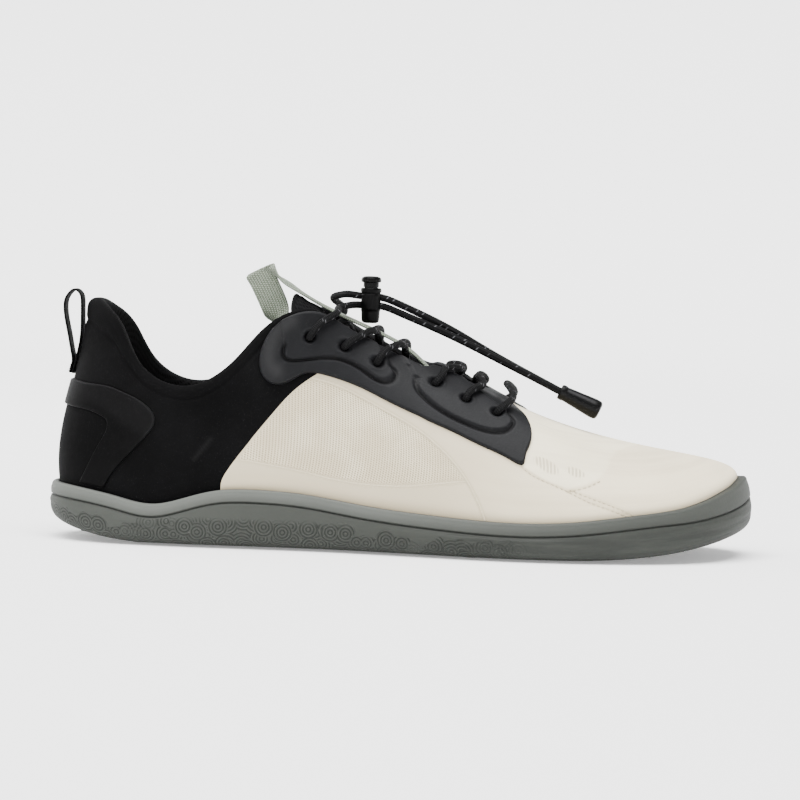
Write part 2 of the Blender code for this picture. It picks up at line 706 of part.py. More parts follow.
def make_tongue(mat):
    rows = tongue_rows()
    read = spline(range(len(rows)), rows)
    stations = read(np.linspace(0, len(rows) - 1, 15))
    slope = np.gradient(stations[:, :2], axis=0)
    slope /= np.linalg.norm(slope, axis=1, keepdims=True)
    across = np.linspace(-1, 1, 7)
    taper = np.interp(range(len(stations)), (0, 2, len(stations) - 3, len(stations) - 1), (0.35, 1, 1, 0.5))
    bm = bmesh.new()
    rings = []
    for (x, z, half, droop), (dx, dz), full in zip(stations, slope, taper):
        down = np.array([dz, 0.0, -dx])
        top = np.stack([np.full(7, x), across * half, z - droop * across ** 2], -1)
        thick = full * TONGUE_THICKNESS * (1 - 0.65 * across ** 4)
        rings.append(np.vstack([top, (top + down * thick[:, None])[::-1]]))
    loops = add_rings(bm, rings)
    for first, second in zip(loops, loops[1:]):
        bridge(bm, first, second)
    for loop in (loops[0], loops[-1]):
        for i in range(6):
            bm.faces.new((loop[i], loop[i + 1], loop[12 - i], loop[13 - i]))
    return new_object("tongue", bm, mat)


def make_ribbon(name, mat, centres, widths, width, thick):
    # Flat strip along the centres. widths gives the direction of its width at each.
    along = np.gradient(centres, axis=0)
    along /= np.linalg.norm(along, axis=1, keepdims=True)
    side = widths - along * np.sum(widths * along, axis=1, keepdims=True)
    side /= np.linalg.norm(side, axis=1, keepdims=True)
    face = np.cross(along, side)
    corners = ((-0.5, -0.5), (0.5, -0.5), (0.5, 0.5), (-0.5, 0.5))
    bm = bmesh.new()
    rings = []
    for centre, s, f in zip(centres, side, face):
        rings.append([centre + s * (a * width) + f * (b * thick) for a, b in corners])
    loops = add_rings(bm, rings)
    for first, second in zip(loops, loops[1:]):
        bridge(bm, first, second)
    bm.faces.new(loops[0])
    bm.faces.new(loops[-1])
    return new_object(name, bm, mat)


def strap_rows():
    # The front end lies on the tongue, and the rear end below its top part.
    rows = [((r.at - 0.5) * SHOE_LENGTH, 0.0, r.height * INSTEP_HEIGHT, r.twist) for r in STRAPS]
    seat = CLEARANCE + STRAP_THICKNESS / 2
    x = rows[0][0]
    rows[0] = (x, 0.0, tongue_level(x) + 1.2 * seat, 0.0)
    x = rows[-1][0]
    slope = (tongue_level(x + 0.002) - tongue_level(x - 0.002)) / 0.004
    under = tongue_level(x) - (TONGUE_THICKNESS + 1.2 * seat) * math.sqrt(1 + slope * slope)
    rows[-1] = (x, 0.0, under, 0.0)
    return rows


def make_strap(mat):
    table = smooth_line(strap_rows(), 44)
    twist = np.clip(table[:, 3:4], 0, 1) * math.pi / 2
    widths = np.cos(twist) * (0.0, 1.0, 0.0) + np.sin(twist) * (1.0, 0.0, 0.0)
    return make_ribbon("tongue_strap", mat, table[:, :3], widths, STRAP_WIDTH, STRAP_THICKNESS)


def make_loop(mat):
    # Both ends of the tape lie one over the other on the heel, above the counter.
    inner_lift = CLEARANCE + TAPE_THICKNESS / 2
    outer_lift = inner_lift + TAPE_THICKNESS + CLEARANCE
    route = [upper_offset(0.0, up, outer_lift) for up in (0.635, 0.665, 0.700)]
    route += [((r.at - 0.5) * SHOE_LENGTH, 0.0, r.height * COLLAR_HEIGHT) for r in LOOPS]
    route += [upper_offset(0.0, up, inner_lift) for up in (0.740, 0.690, 0.635)]
    centres = smooth_line(route, 34)
    centres[:, 1] = 0.0
    widths = np.tile([0.0, 1.0, 0.0], (len(centres), 1))
    return make_ribbon("heel_loop", mat, centres, widths, TAPE_WIDTH, TAPE_THICKNESS)


def make_tube(name, mat, route, radius, sides, steps):
    # Round closed tube along a smooth curve through the route's points.
    centres = smooth_line(route, steps)
    along = np.gradient(centres, axis=0)
    along /= np.linalg.norm(along, axis=1, keepdims=True)
    bm = bmesh.new()
    rings = []
    for centre, direction in zip(centres, along):
        side = np.cross(direction, (1.0, 0.0, 0.0))
        side /= np.linalg.norm(side)
        up = np.cross(side, direction)
        ring = []
        for i in range(sides):
            angle = FULL_TURN * i / sides
            ring.append(centre + radius * (math.cos(angle) * side + math.sin(angle) * up))
        rings.append(ring)
    loops = add_rings(bm, rings)
    for first, second in zip(loops, loops[1:]):
        bridge(bm, first, second)
    bm.faces.new(loops[0])
    bm.faces.new(loops[-1])
    return new_object(name, bm, mat)


def on_side(at, side):
    return turn_at(at) if side < 0 else FULL_TURN - turn_at(at)


def over_edge(row, side):
    # From just above an eyelet, over the island, to above the throat's edge.
    stand = STAY_TOP + CLEARANCE + CORD_RADIUS
    middle = mix(row.at, row.over, 0.5)
    return [
        upper_offset(on_side(row.at, side), row.up, stand),
        upper_offset(on_side(middle, side), mix(row.up, 1.0, 0.5), stand + 0.0002),
        upper_offset(on_side(row.over, side), 1.0, stand + 0.0002),
    ]


def strand_route(index, side):
    # The top crossing runs below both edges, the others over one and below the other.
    row = EYELETS[index]
    sink = UPPER_WALL + 2 * CLEARANCE + CORD_RADIUS
    if index:
        route = over_edge(row, side)
    else:
        route = [upper_offset(on_side(row.over, side), 0.95, -sink)]
    far = upper_offset(on_side(row.under, -side), 0.95, -sink)
    x = (route[-1][0] + far[0]) / 2
    lowest = tongue_level(x) + CORD_RADIUS + 3 * CLEARANCE
    route.append(np.array([x, 0.0, max(lowest, (route[-1][2] + far[2]) / 2)]))
    route.append(far)
    return route


def make_crossing(index, mat):
    # The two strands of a crossing are joined where they meet.
    name = "lace_crossing_%d" % (index + 1)
    piece = make_tube(name, mat, strand_route(index, -1), CORD_RADIUS, 6, 13)
    other = make_tube(name + "_other", mat, strand_route(index, 1), CORD_RADIUS, 6, 13)
    other.hide_render = True
    other.display_type = "WIRE"
    join = piece.modifiers.new("join", "BOOLEAN")
    join.operation = "UNION"
    join.solver = "EXACT"
    join.object = other
    return piece


def make_bar(mat):
    # The lace's front bar, over the band before the throat.
    row = EYELETS[-1]
    stand = STAY_TOP + CLEARANCE + CORD_RADIUS
    route = []
    for side in (-1, 1):
        leg = []
        for share, extra in ((0.0, 0.0), (0.35, 0.0004), (0.70, 0.0008)):
            turn = on_side(mix(row.at, row.over, share), side)
            leg.append(upper_offset(turn, mix(row.up, 1.0, share), stand + extra))
        route.append(leg if side < 0 else leg[::-1])
    crown = upper_offset(math.pi, 0.955, stand + 0.0012)
    return make_tube("lace_bar", mat, route[0] + [crown] + route[1], CORD_RADIUS, 6, 17)


def place(route):
    across = route.side * BALL_WIDTH / 2
    return np.array([(route.at - 0.5) * SHOE_LENGTH, across, route.height * INSTEP_HEIGHT])


def make_cord(name, mat, side, route):
    # Free cord: out of the top eyelet, through the lock, to the cord end.
    points = over_edge(EYELETS[0], side) + [place(r) for r in route]
    gap = points[-1] - points[-2]
    points[-1] = points[-1] - gap / np.linalg.norm(gap) * CLEARANCE
    line = smooth_line(points, 34)
    curve = bpy.data.curves.new(name, "CURVE")
    curve.dimensions = "3D"
    curve.bevel_depth = CORD_RADIUS
    curve.bevel_resolution = 2
    curve.use_fill_caps = True
    path = curve.splines.new("POLY")
    path.points.add(len(line) - 1)
    for point, at in zip(path.points, line):
        point.co = (*at, 1.0)
    curve.materials.append(mat)
    made = bpy.data.objects.new(name, curve)
    bpy.context.scene.collection.objects.link(made)
    return made


def turned(name, mat, profile, segments, location, direction=(0.0, 0.0, 1.0)):
    # A closed profile of (radius, height) spun round the direction.
    bm = bmesh.new()
    verts = [bm.verts.new((radius, 0.0, height)) for radius, height in profile]
    edges = [bm.edges.new(pair) for pair in zip(verts, verts[1:])]
    bmesh.ops.spin(bm, geom=verts + edges, cent=(0, 0, 0), axis=(0, 0, 1), angle=FULL_TURN, steps=segments)
    bmesh.ops.remove_doubles(bm, verts=bm.verts, dist=1e-6)
    made = new_object(name, bm, mat)
    made.location = location
    made.rotation_euler = Vector(direction).to_track_quat("Z", "Y").to_euler()
    return made


def slot_cutter(name, width, low, high, location):
    bm = bmesh.new()
    bmesh.ops.create_cube(bm, size=1.0)
    bmesh.ops.scale(bm, vec=(3 * LOCK_DIAMETER, width, high - low), verts=bm.verts)
    cutter = new_object(name, bm, bpy.data.materials[0], smooth=False)
    cutter.location = (location[0], location[1], (low + high) / 2)
    cutter.hide_render = True
    cutter.display_type = "WIRE"
    return cutter


def make_lock(mat, button_mat):
    # Barrel with a slot for both cords, and the sprung button that slides down in it.
    x = (LOCK_AT - 0.5) * SHOE_LENGTH
    level = LOCK_LEVEL * INSTEP_HEIGHT
    reach = CORD_SPACING / 2 + CORD_RADIUS + CLEARANCE
    slot_width = CORD_DIAMETER + 2 * CLEARANCE
    base = level - reach - LOCK_FOOT
    radius = LOCK_DIAMETER / 2
    bore = radius - LOCK_WALL
    chamfer = 0.1 * radius
    profile = [
        (0.0, 0.0), (0.62 * radius, 0.0), (0.86 * radius, 0.05 * LOCK_HEIGHT), (radius, 0.21 * LOCK_HEIGHT),
        (radius, LOCK_HEIGHT - 2 * chamfer), (radius - chamfer, LOCK_HEIGHT),
        (bore, LOCK_HEIGHT), (bore, LOCK_WALL), (0.0, LOCK_WALL),
    ]
    barrel = turned("lock_barrel", mat, profile, 20, (x, 0.0, base))
    cutter = slot_cutter("barrel_slot", slot_width, level - reach, level + reach, (x, 0.0))
    cut_with(barrel, cutter)
    plunger = bore - CLEARANCE
    foot = base + LOCK_WALL + CLEARANCE + BUTTON_TRAVEL
    height = base + LOCK_HEIGHT + BUTTON_HEIGHT - foot
    neck = height - BUTTON_HEAD
    profile = [
        (0.0, 0.0), (plunger, 0.0), (plunger, neck), (0.96 * radius, neck),
        (0.96 * radius, neck + 0.5 * BUTTON_HEAD), (0.84 * radius, height - 0.14 * BUTTON_HEAD),
        (0.50 * radius, height), (0.0, height),
    ]
    button = turned("lock_button", button_mat, profile, 20, (x, 0.0, foot))
    top = level + reach + BUTTON_TRAVEL
    cutter = slot_cutter("button_slot", slot_width, level - reach, top, (x, 0.0))
    cut_with(button, cutter)


def make_cord_end(mat):
    start = (place(LATERAL_CORD[-1]) + place(MEDIAL_CORD[-1])) / 2
    finish = place(CORD_END_TO)
    direction = (finish - start) / np.linalg.norm(finish - start)
    half = CORD_END_DIAMETER / 2
    long = CORD_END_LENGTH
    profile = [
        (0.0, 0.0), (0.74 * half, 0.0), (0.80 * half, 0.03 * long), (0.90 * half, 0.45 * long),
        (half, 0.80 * long), (half, 0.92 * long), (0.80 * half, 0.99 * long), (0.55 * half, long),
        (0.0, long),
    ]
    turned("cord_end", mat, profile, 16, start, direction)


def build():
    clear_scene()
    rubber = material("sole_rubber", (0.20, 0.22, 0.20), 0.75)
    textile = material("upper_textile", (0.72, 0.69, 0.60), 0.85)
    overlay = material("eyestay_film", (0.045, 0.047, 0.055), 0.55)
    counter_film = material("counter_film", (0.020, 0.020, 0.021), 0.60)
    lining = material("insole_foam", (0.06, 0.06, 0.06), 0.90)
    tongue_textile = material("tongue_textile", (0.012, 0.012, 0.013), 0.90)
    webbing = material("strap_webbing", (0.30, 0.33, 0.28), 0.85)
    tape = material("loop_tape", (0.010, 0.010, 0.010), 0.85)
    elastic = material("lace_elastic", (0.012, 0.012, 0.013), 0.80)
    plastic = material("lock_plastic", (0.012, 0.012, 0.013), 0.45)
    button_plastic = material("button_plastic", (0.014, 0.014, 0.015), 0.40)
    end_rubber = material("end_plastic", (0.012, 0.012, 0.013), 0.50)
    make_sole(rubber)
    make_insole(lining)
    make_upper(textile, eyelet_cutter("upper_eyelets"))
    make_eyestay(overlay, eyelet_cutter("stay_eyelets"))
    make_counter(counter_film)
    make_tongue(tongue_textile)
    make_strap(webbing)
    make_loop(tape)
    for index in range(len(EYELETS) - 1):
        make_crossing(index, elastic)
    make_bar(elastic)
    make_cord("cord_lateral", elastic, -1, LATERAL_CORD)
    make_cord("cord_medial", elastic, 1, MEDIAL_CORD)
    make_lock(plastic, button_plastic)
    make_cord_end(end_rubber)


build()
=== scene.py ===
import math

import bmesh
import bpy
import numpy as np
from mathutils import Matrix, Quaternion, Vector


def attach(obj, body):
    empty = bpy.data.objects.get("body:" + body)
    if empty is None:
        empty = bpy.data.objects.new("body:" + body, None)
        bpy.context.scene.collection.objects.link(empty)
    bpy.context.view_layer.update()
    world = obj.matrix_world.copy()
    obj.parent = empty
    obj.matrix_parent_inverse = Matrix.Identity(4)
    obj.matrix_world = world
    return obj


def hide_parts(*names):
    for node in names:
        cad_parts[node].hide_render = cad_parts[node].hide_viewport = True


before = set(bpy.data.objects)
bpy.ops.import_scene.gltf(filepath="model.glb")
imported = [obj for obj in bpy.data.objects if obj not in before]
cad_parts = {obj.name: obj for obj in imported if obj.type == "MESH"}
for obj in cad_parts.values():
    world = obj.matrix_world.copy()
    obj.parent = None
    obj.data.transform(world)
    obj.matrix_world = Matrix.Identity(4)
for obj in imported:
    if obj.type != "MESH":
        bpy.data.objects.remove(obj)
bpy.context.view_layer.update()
fullTurn = 2 * math.pi
shoeBody = "shoe"
buttonBody = "lock_button"
fine = 1.0

# The shoe's own sizes, in metres, as in the model's source
shoe = dict(
    length=0.284, ballWidth=0.106, heelWidth=0.070, sideHeight=0.0234, toeWrap=0.0320,
    collarHeight=0.0968, instepHeight=0.0948, toeHeight=0.0400, collarWidth=0.0630, throatWidth=0.0410,
    heelLift=0.0095, toeSpring=0.0125, wall=0.0020, padding=0.0060, floor=0.0045, soleWall=0.0026,
    gap=0.0003, toeLean=0.0028, edgeRound=0.0070,
)
shoe["rimInset"] = 0.0006 + shoe["soleWall"]
shoe["floorInset"] = shoe["rimInset"] + 0.0008

# Outline from above: station, lateral and medial half width, weight of ball over heel width
planRows = [
    (0.000, 0.000, 0.000, 0.0), (0.030, 0.655, 0.655, 0.0), (0.120, 0.985, 0.975, 0.0),
    (0.250, 1.030, 0.950, 0.1), (0.400, 0.930, 0.740, 0.4), (0.550, 0.930, 0.830, 0.9),
    (0.660, 1.000, 0.965, 1.0), (0.750, 0.985, 1.000, 1.0), (0.850, 0.860, 0.960, 1.0),
    (0.930, 0.620, 0.800, 1.0), (0.980, 0.250, 0.545, 1.0), (1.000, -0.200, 0.200, 1.0),
]

# Sole rim: station, height as a share of the side height, weight of the toe wrap's height
rimRows = [
    (0.000, 0.955, 0.00), (0.067, 0.890, 0.00), (0.110, 0.795, 0.00), (0.165, 0.705, 0.00),
    (0.210, 0.840, 0.00), (0.250, 0.965, 0.00), (0.300, 1.000, 0.00), (0.380, 0.940, 0.00),
    (0.450, 0.815, 0.00), (0.550, 0.700, 0.00), (0.660, 0.637, 0.00), (0.750, 0.680, 0.00),
    (0.830, 0.800, 0.00), (0.900, 0.920, 0.00), (0.955, 1.050, 0.15), (0.985, 1.040, 0.55),
    (1.000, 1.000, 1.00),
]

# Ribs of the upper: stations of base and edge, the edge's half width and height, weights of front and
# padding, then how far and how high the rib's two handles stand, weight of the toe, trim of the top
ribRows = [
    (0.000, 0.0455, 0.000, 0.00, 1.000, 1.00, 0.0123, 0.486, 0.004, 0.677, 0.0, 0.00),
    (0.010, 0.0520, 0.270, 0.00, 0.996, 0.97, 0.0120, 0.480, 0.004, 0.675, 0.0, 0.00),
    (0.040, 0.0700, 0.524, 0.00, 0.966, 0.90, 0.0100, 0.450, 0.004, 0.655, 0.0, 0.00),
    (0.090, 0.1000, 0.746, 0.00, 0.884, 0.75, 0.0080, 0.410, 0.005, 0.600, 0.0, 0.00),
    (0.140, 0.1320, 0.889, 0.00, 0.744, 0.62, 0.0070, 0.360, 0.006, 0.520, 0.0, 0.00),
    (0.200, 0.1800, 0.968, 0.00, 0.659, 0.54, 0.0060, 0.335, 0.006, 0.475, 0.0, 0.00),
    (0.260, 0.2250, 1.000, 0.00, 0.670, 0.54, 0.0050, 0.345, 0.006, 0.490, 0.0, 0.00),
    (0.320, 0.2680, 1.020, 0.15, 0.762, 0.46, 0.0040, 0.400, 0.008, 0.560, 0.0, 0.00),
    (0.380, 0.3080, 1.115, 0.50, 0.903, 0.25, 0.0030, 0.420, 0.012, 0.640, 0.0, 0.00),
    (0.430, 0.3450, 1.127, 0.75, 0.983, 0.10, 0.0020, 0.440, 0.020, 0.700, 0.0, 0.00),
    (0.480, 0.3850, 1.146, 1.00, 0.997, 0.00, 0.0020, 0.450, 0.030, 0.735, 0.0, 0.00),
    (0.530, 0.4250, 1.049, 1.00, 0.928, 0.00, 0.0010, 0.430, 0.040, 0.710, 0.0, 0.00),
    (0.580, 0.4650, 0.966, 1.00, 0.867, 0.00, 0.0010, 0.400, 0.048, 0.690, 0.0, 0.00),
    (0.625, 0.5000, 0.902, 1.00, 0.826, 0.00, 0.0000, 0.375, 0.053, 0.665, 0.0, 0.04),
    (0.660, 0.5200, 0.868, 1.00, 0.802, 0.00, 0.0000, 0.355, 0.060, 0.650, 0.0, 0.06),
    (0.700, 0.5420, 0.829, 1.00, 0.778, 0.00, 0.0000, 0.400, 0.066, 0.700, 0.2, 0.00),
    (0.750, 0.5670, 0.780, 1.00, 0.748, 0.00, 0.0000, 0.500, 0.078, 0.835, 0.5, 0.00),
    (0.810, 0.5910, 0.690, 1.00, 0.716, 0.00, -0.0010, 0.670, 0.104, 1.015, 0.8, 0.00),
    (0.880, 0.6090, 0.505, 1.00, 0.696, 0.00, -0.0030, 0.900, 0.132, 1.085, 1.0, 0.00),
    (0.950, 0.6170, 0.268, 1.00, 0.688, 0.00, -0.0060, 1.000, 0.157, 0.985, 1.0, 0.00),
    (1.000, 0.6190, 0.000, 1.00, 0.686, 0.00, -0.0070, 1.075, 0.172, 0.935, 1.0, 0.00),
]


def mix(a, b, weight):
    return a + (b - a) * weight


def unit(vectors):
    return vectors / np.linalg.norm(vectors, axis=-1, keepdims=True)


def lengthsAlong(points, axis=0):
    # running length from the first point
    steps = np.linalg.norm(np.diff(points, axis=axis), axis=-1)
    return np.concatenate([np.zeros_like(np.take(steps, [0], axis)), np.cumsum(steps, axis)], axis)


def ease(value):
    share = np.clip(value, 0.0, 1.0)
    return share * share * (3 - 2 * share)


def bell(distance, width):
    return np.exp(-(np.asarray(distance) / width) ** 2)


def turnAt(share):
    return math.acos(1 - 2 * share)


def spline(knots, values, period=None):
    # natural cubic through the values, or a closed one when a period is given
    x = np.array(knots, float)
    y = np.array(values, float).reshape(len(x), -1)
    if period:
        x = np.append(x, x[0] + period)
        y = np.vstack([y, y[:1]])
    h = np.diff(x)
    slope = np.diff(y, axis=0) / h[:, None]
    count = len(x)
    a = np.zeros((count, count))
    b = np.zeros((count, y.shape[1]))
    for i in range(1, count - 1):
        a[i, i - 1:i + 2] = h[i - 1], 2 * (h[i - 1] + h[i]), h[i]
        b[i] = 6 * (slope[i] - slope[i - 1])
    if period:
        a[0, 0], a[0, -1] = 1, -1
        a[-1, 0], a[-1, 1] = 2 * h[0], h[0]
        a[-1, -2], a[-1, -1] = h[-1], 2 * h[-1]
        b[-1] = 6 * (slope[0] - slope[-1])
    else:
        a[0, 0] = a[-1, -1] = 1
    bend = np.linalg.solve(a, b)

    def read(at):
        t = np.asarray(at, float)
        if period:
            t = x[0] + (t - x[0]) % period
        k = np.clip(np.searchsorted(x, t, side="right") - 1, 0, count - 2)
        left = (x[k + 1] - t)[..., None]
        right = (t - x[k])[..., None]
        g = h[k][..., None]
        arc = (bend[k] * left ** 3 + bend[k + 1] * right ** 3) / (6 * g)
        return arc + (y[k] / g - bend[k] * g / 6) * left + (y[k + 1] / g - bend[k + 1] * g / 6) * right

    return read


def around(rows, readRow):
    # closed spline round the shoe: lateral side from heel to toe, then back on the medial
    knots = [turnAt(row[0]) for row in rows]
    values = [readRow(row, -1) for row in rows]
    for row in reversed(rows[1:-1]):
        knots.append(fullTurn - turnAt(row[0]))
        values.append(readRow(row, 1))
    return spline(knots, values, fullTurn)


def readPlan(row, side):
    at, lateral, medial, ball = row
    half = mix(shoe["heelWidth"], shoe["ballWidth"], ball) / 2
    return -lateral * half if side < 0 else medial * half


def readRim(row, side):
    return row[1] * mix(shoe["sideHeight"], shoe["toeWrap"], row[2])


def readRib(row, side):
    base, edge, width, front, height, pad, flare, low, reach, high, toe, trim = row
    half = mix(shoe["collarWidth"], shoe["throatWidth"], front) / 2
    top = mix(shoe["collarHeight"], shoe["instepHeight"], front)
    handle = mix(top, shoe["toeHeight"], toe)
    size = shoe["length"]
    return (edge * size, side * width * half, height * top, pad * shoe["padding"],
            flare * size, low * handle, reach * size, high * handle, trim)


planCurve = around(planRows, readPlan)
rimCurve = around(rimRows, readRim)
ribCurve = around(ribRows, readRib)
widest = planCurve(np.linspace(0, fullTurn, 721))[:, 0]


def planPoint(turn):
    y = planCurve(turn)[..., 0]
    y = y * shoe["ballWidth"] / 2 / np.where(y < 0, -widest.min(), widest.max())
    return np.stack([-np.cos(turn) * shoe["length"] / 2, y], -1)


def outline(turn, inset=0.0):
    turn = np.asarray(turn, float)
    along = unit(planPoint(turn + 1e-4) - planPoint(turn - 1e-4))
    inward = np.stack([-along[..., 1], along[..., 0]], -1)
    return planPoint(turn) + inward * np.asarray(inset)[..., None]


def bottomLevel(x):
    share = x / shoe["length"] + 0.5
    heel = shoe["heelLift"] * np.clip((0.16 - share) / 0.16, 0, 1) ** 2.2
    toe = shoe["toeSpring"] * np.clip((share - 0.70) / 0.30, 0, 1) ** 2.8
    return heel + toe


def floorLevel(x):
    return bottomLevel(x) + shoe["floor"]


def toeLean(turn):
    share = 0.5 - np.cos(turn) / 2
    return shoe["toeLean"] * ease((share - 0.86) / 0.14)


def standOn(flat, level):
    return np.concatenate([flat, level[..., None]], -1)


def rollHeight(thick):
    return 0.6 * thick      # how far the collar's roll stands above its edge


def ribPoints(turn):
    c = ribCurve(turn)
    lean = toeLean(turn)
    start = standOn(outline(turn, shoe["rimInset"] + shoe["gap"] + lean), rimCurve(turn)[..., 0])
    feather = outline(turn, shoe["floorInset"] + shoe["gap"] + 0.6 * lean)
    feather = standOn(feather, floorLevel(feather[..., 0]) + shoe["gap"])
    edgeLevel = c[..., 2] - rollHeight(shoe["wall"] + c[..., 3])
    edge = np.stack([c[..., 0] - shoe["length"] / 2, c[..., 1], edgeLevel], -1)
    away = unit(start[..., :2] - edge[..., :2])
    side = unit(outline(turn) - outline(turn, 0.001))
    low = standOn(start[..., :2] + side * c[..., 4:5], c[..., 5])
    high = standOn(edge[..., :2] + away * c[..., 6:7], c[..., 7])
    return feather, start, low, high, edge, c[..., 8]


def upperFace(turn, up):
    # outer face of the upper: up is -1 at the feather, 0 at the rim and 1 at the opening
    turn, up = np.broadcast_arrays(np.asarray(turn, float), np.asarray(up, float))
    feather, start, low, high, edge, trim = ribPoints(turn)
    u = (np.clip(up, 0, 1.2) * (1 - trim))[..., None]
    down = np.clip(-up, 0, 1)[..., None]
    rib = (1 - u) ** 3 * start + 3 * (1 - u) ** 2 * u * low + 3 * (1 - u) * u * u * high + u ** 3 * edge
    return rib + (feather - start) * down


def upperNormal(turn, up):
    step = 2e-4
    lower = np.where(np.asarray(up) > 0, np.asarray(up) - step, up)
    across = upperFace(turn + step, up) - upperFace(turn - step, up)
    rise = upperFace(turn, lower + step) - upperFace(turn, lower)
    return unit(np.cross(across, rise))


def upperOffset(turn, up, lift):
    return upperFace(turn, up) + upperNormal(turn, up) * np.asarray(lift)[..., None]


def upperThickness(turn, up):
    return shoe["wall"] + ribCurve(turn)[..., 3] * ease((np.asarray(up) - 0.30) / 0.60)


def onSide(at, side):
    # side is -1 for the lateral and 1 for the medial
    return turnAt(at) if side < 0 else fullTurn - turnAt(at)


girthTurns = np.linspace(0, fullTurn, 721)
girthLengths = lengthsAlong(upperFace(girthTurns, 0.35))
ribShares = np.linspace(0, 1, 25)
ribLengths = lengthsAlong(upperFace(girthTurns[:, None], ribShares[None, :]), 1)[:, -1]


def clothMap(turn, up):
    # flat coordinates of the upper's cloth, in metres
    turn, up = np.broadcast_arrays(np.asarray(turn, float), np.asarray(up, float))
    along = np.interp(turn % fullTurn, girthTurns, girthLengths)
    rise = up * np.interp(turn % fullTurn, girthTurns, ribLengths)
    return np.stack([along, rise], -1)


def smoothLine(points, count):
    # evenly spaced points on a smooth curve; columns after the third are carried along
    points = np.array(points, float)
    knots = lengthsAlong(points[:, :3])
    return spline(knots, points)(np.linspace(0, knots[-1], count))


def insideShape(corners, x, y):
    # which points lie inside a closed outline, by the edges that a line from each one crosses
    inside = np.zeros(np.shape(x), bool)
    for (x1, y1), (x2, y2) in zip(corners, corners[1:] + corners[:1]):
        if y1 != y2:
            inside ^= ((y1 > y) != (y2 > y)) & (x < (x2 - x1) * (y - y1) / (y2 - y1) + x1)
    return inside


def distanceToPath(points, path):
    # shortest distance from each point to a polyline
    best = np.full(points.shape[:-1], 1e9)
    for a, b in zip(path, path[1:]):
        edge = b - a
        share = np.clip(((points - a) @ edge) / max(edge @ edge, 1e-12), 0, 1)
        best = np.minimum(best, np.linalg.norm(points - a - share[..., None] * edge, axis=-1))
    return best


# Materials: arithmetic on a Field adds Math nodes
class Field:
    def __init__(self, finish, socket):
        self.finish = finish
        self.socket = socket

    def math(self, operation, *others):
        return self.finish.add("ShaderNodeMath", {"operation": operation}, dict(enumerate((self, *others))))

    def __add__(self, other):
        return self.math("ADD", other)

    def __sub__(self, other):
        return self.math("SUBTRACT", other)

    def __rsub__(self, other):
        return self.finish.add("ShaderNodeMath", {"operation": "SUBTRACT"}, {0: other, 1: self})

    def __mul__(self, other):
        return self.math("MULTIPLY", other)

    def __truediv__(self, other):
        return self.math("DIVIDE", other)

    __radd__ = __add__
    __rmul__ = __mul__

    def sine(self):
        return self.math("SINE")

    def fract(self):
        return self.math("FRACT")

    def whole(self):
        return self.math("FLOOR")

    def size(self):
        return self.math("ABSOLUTE")

    def least(self, other):
        return self.math("MINIMUM", other)

    def step(self, low, high):
        # 0 below low, 1 above high, smooth between
        return self.finish.add(
            "ShaderNodeMapRange", {"interpolation_type": "SMOOTHSTEP"},
            {"Value": self, "From Min": low, "From Max": high, "To Min": 0.0, "To Max": 1.0})


class Finish:
    def __init__(self, name, roughness=0.5, sheen=0.0, specular=0.5):
        self.material = bpy.data.materials.new(name)
        self.material.use_nodes = True
        self.tree = self.material.node_tree
        self.shader = self.tree.nodes["Principled BSDF"]
        self.shader.inputs["Roughness"].default_value = roughness
        self.shader.inputs["Sheen Weight"].default_value = sheen
        self.shader.inputs["Specular IOR Level"].default_value = specular

    def add(self, kind, settings=None, inputs=None, output=0):
        node = self.tree.nodes.new(kind)
        for key, value in (settings or {}).items():
            setattr(node, key, value)
        for key, value in (inputs or {}).items():
            self.join(value, node.inputs[key])
        return Field(self, node.outputs[output])

    def join(self, value, socket):
        if isinstance(value, Field):
            self.tree.links.new(value.socket, socket)
        else:
            socket.default_value = value

    def set(self, **sockets):
        for name, value in sockets.items():
            label = {"color": "Base Color", "roughness": "Roughness", "normal": "Normal"}[name]
            self.join(value, self.shader.inputs[label])
        return self.material

    def flat(self):
        # the piece's own cloth coordinates, in metres
        place = self.add("ShaderNodeUVMap", {"uv_map": "cloth"})
        return self.split(place)[:2]

    def space(self):
        return self.add("ShaderNodeTexCoord", output=3)

    def station(self):
        # share of the shoe's length from the heel
        return self.split(self.space())[0] / shoe["length"] + 0.5

    def split(self, vector):
        parts = self.add("ShaderNodeSeparateXYZ", inputs={0: vector})
        return [Field(self, parts.socket.node.outputs[i]) for i in range(3)]

    def point(self, x, y):
        return self.add("ShaderNodeCombineXYZ", inputs={0: x, 1: y})

    def mark(self, name):
        return self.add("ShaderNodeAttribute", {"attribute_name": name}, output=2)

    def noise(self, scale, detail=3.0, place=None):
        return self.add("ShaderNodeTexNoise", inputs={
            "Vector": place or self.space(), "Scale": scale, "Detail": detail, "Roughness": 0.5})

    def chance(self, place):
        return self.add("ShaderNodeTexWhiteNoise", {"noise_dimensions": "2D"}, {"Vector": place})

    def blend(self, factor, first, second):
        return self.add("ShaderNodeMix", {"data_type": "RGBA"}, {0: factor, 6: first, 7: second}, output=2)

    def paint(self, color, *coats):
        # each coat is a mask and the colour that it lays over what is there
        for mask, tint in coats:
            color = self.blend(mask, color, tint)
        return color

    def threads(self, across, pitch):
        # one sine wave for each thread
        return (across * (fullTurn / pitch)).sine()

    def bump(self, height, distance):
        return self.add("ShaderNodeBump", inputs={"Height": height, "Distance": distance, "Strength": 1.0})


def rgb(red, green, blue):
    return (red, green, blue, 1.0)


def dotLattice(x, y, pitchX, pitchY):
    # distance to the nearest point of a staggered lattice, in shares of the pitch
    best = None
    for shift in (0.0, 0.5):
        dx = (x / pitchX + shift).fract() - 0.5
        dy = (y / pitchY + shift).fract() - 0.5
        far = (dx * dx + dy * dy).math("SQRT")
        best = far if best is None else best.least(far)
    return best


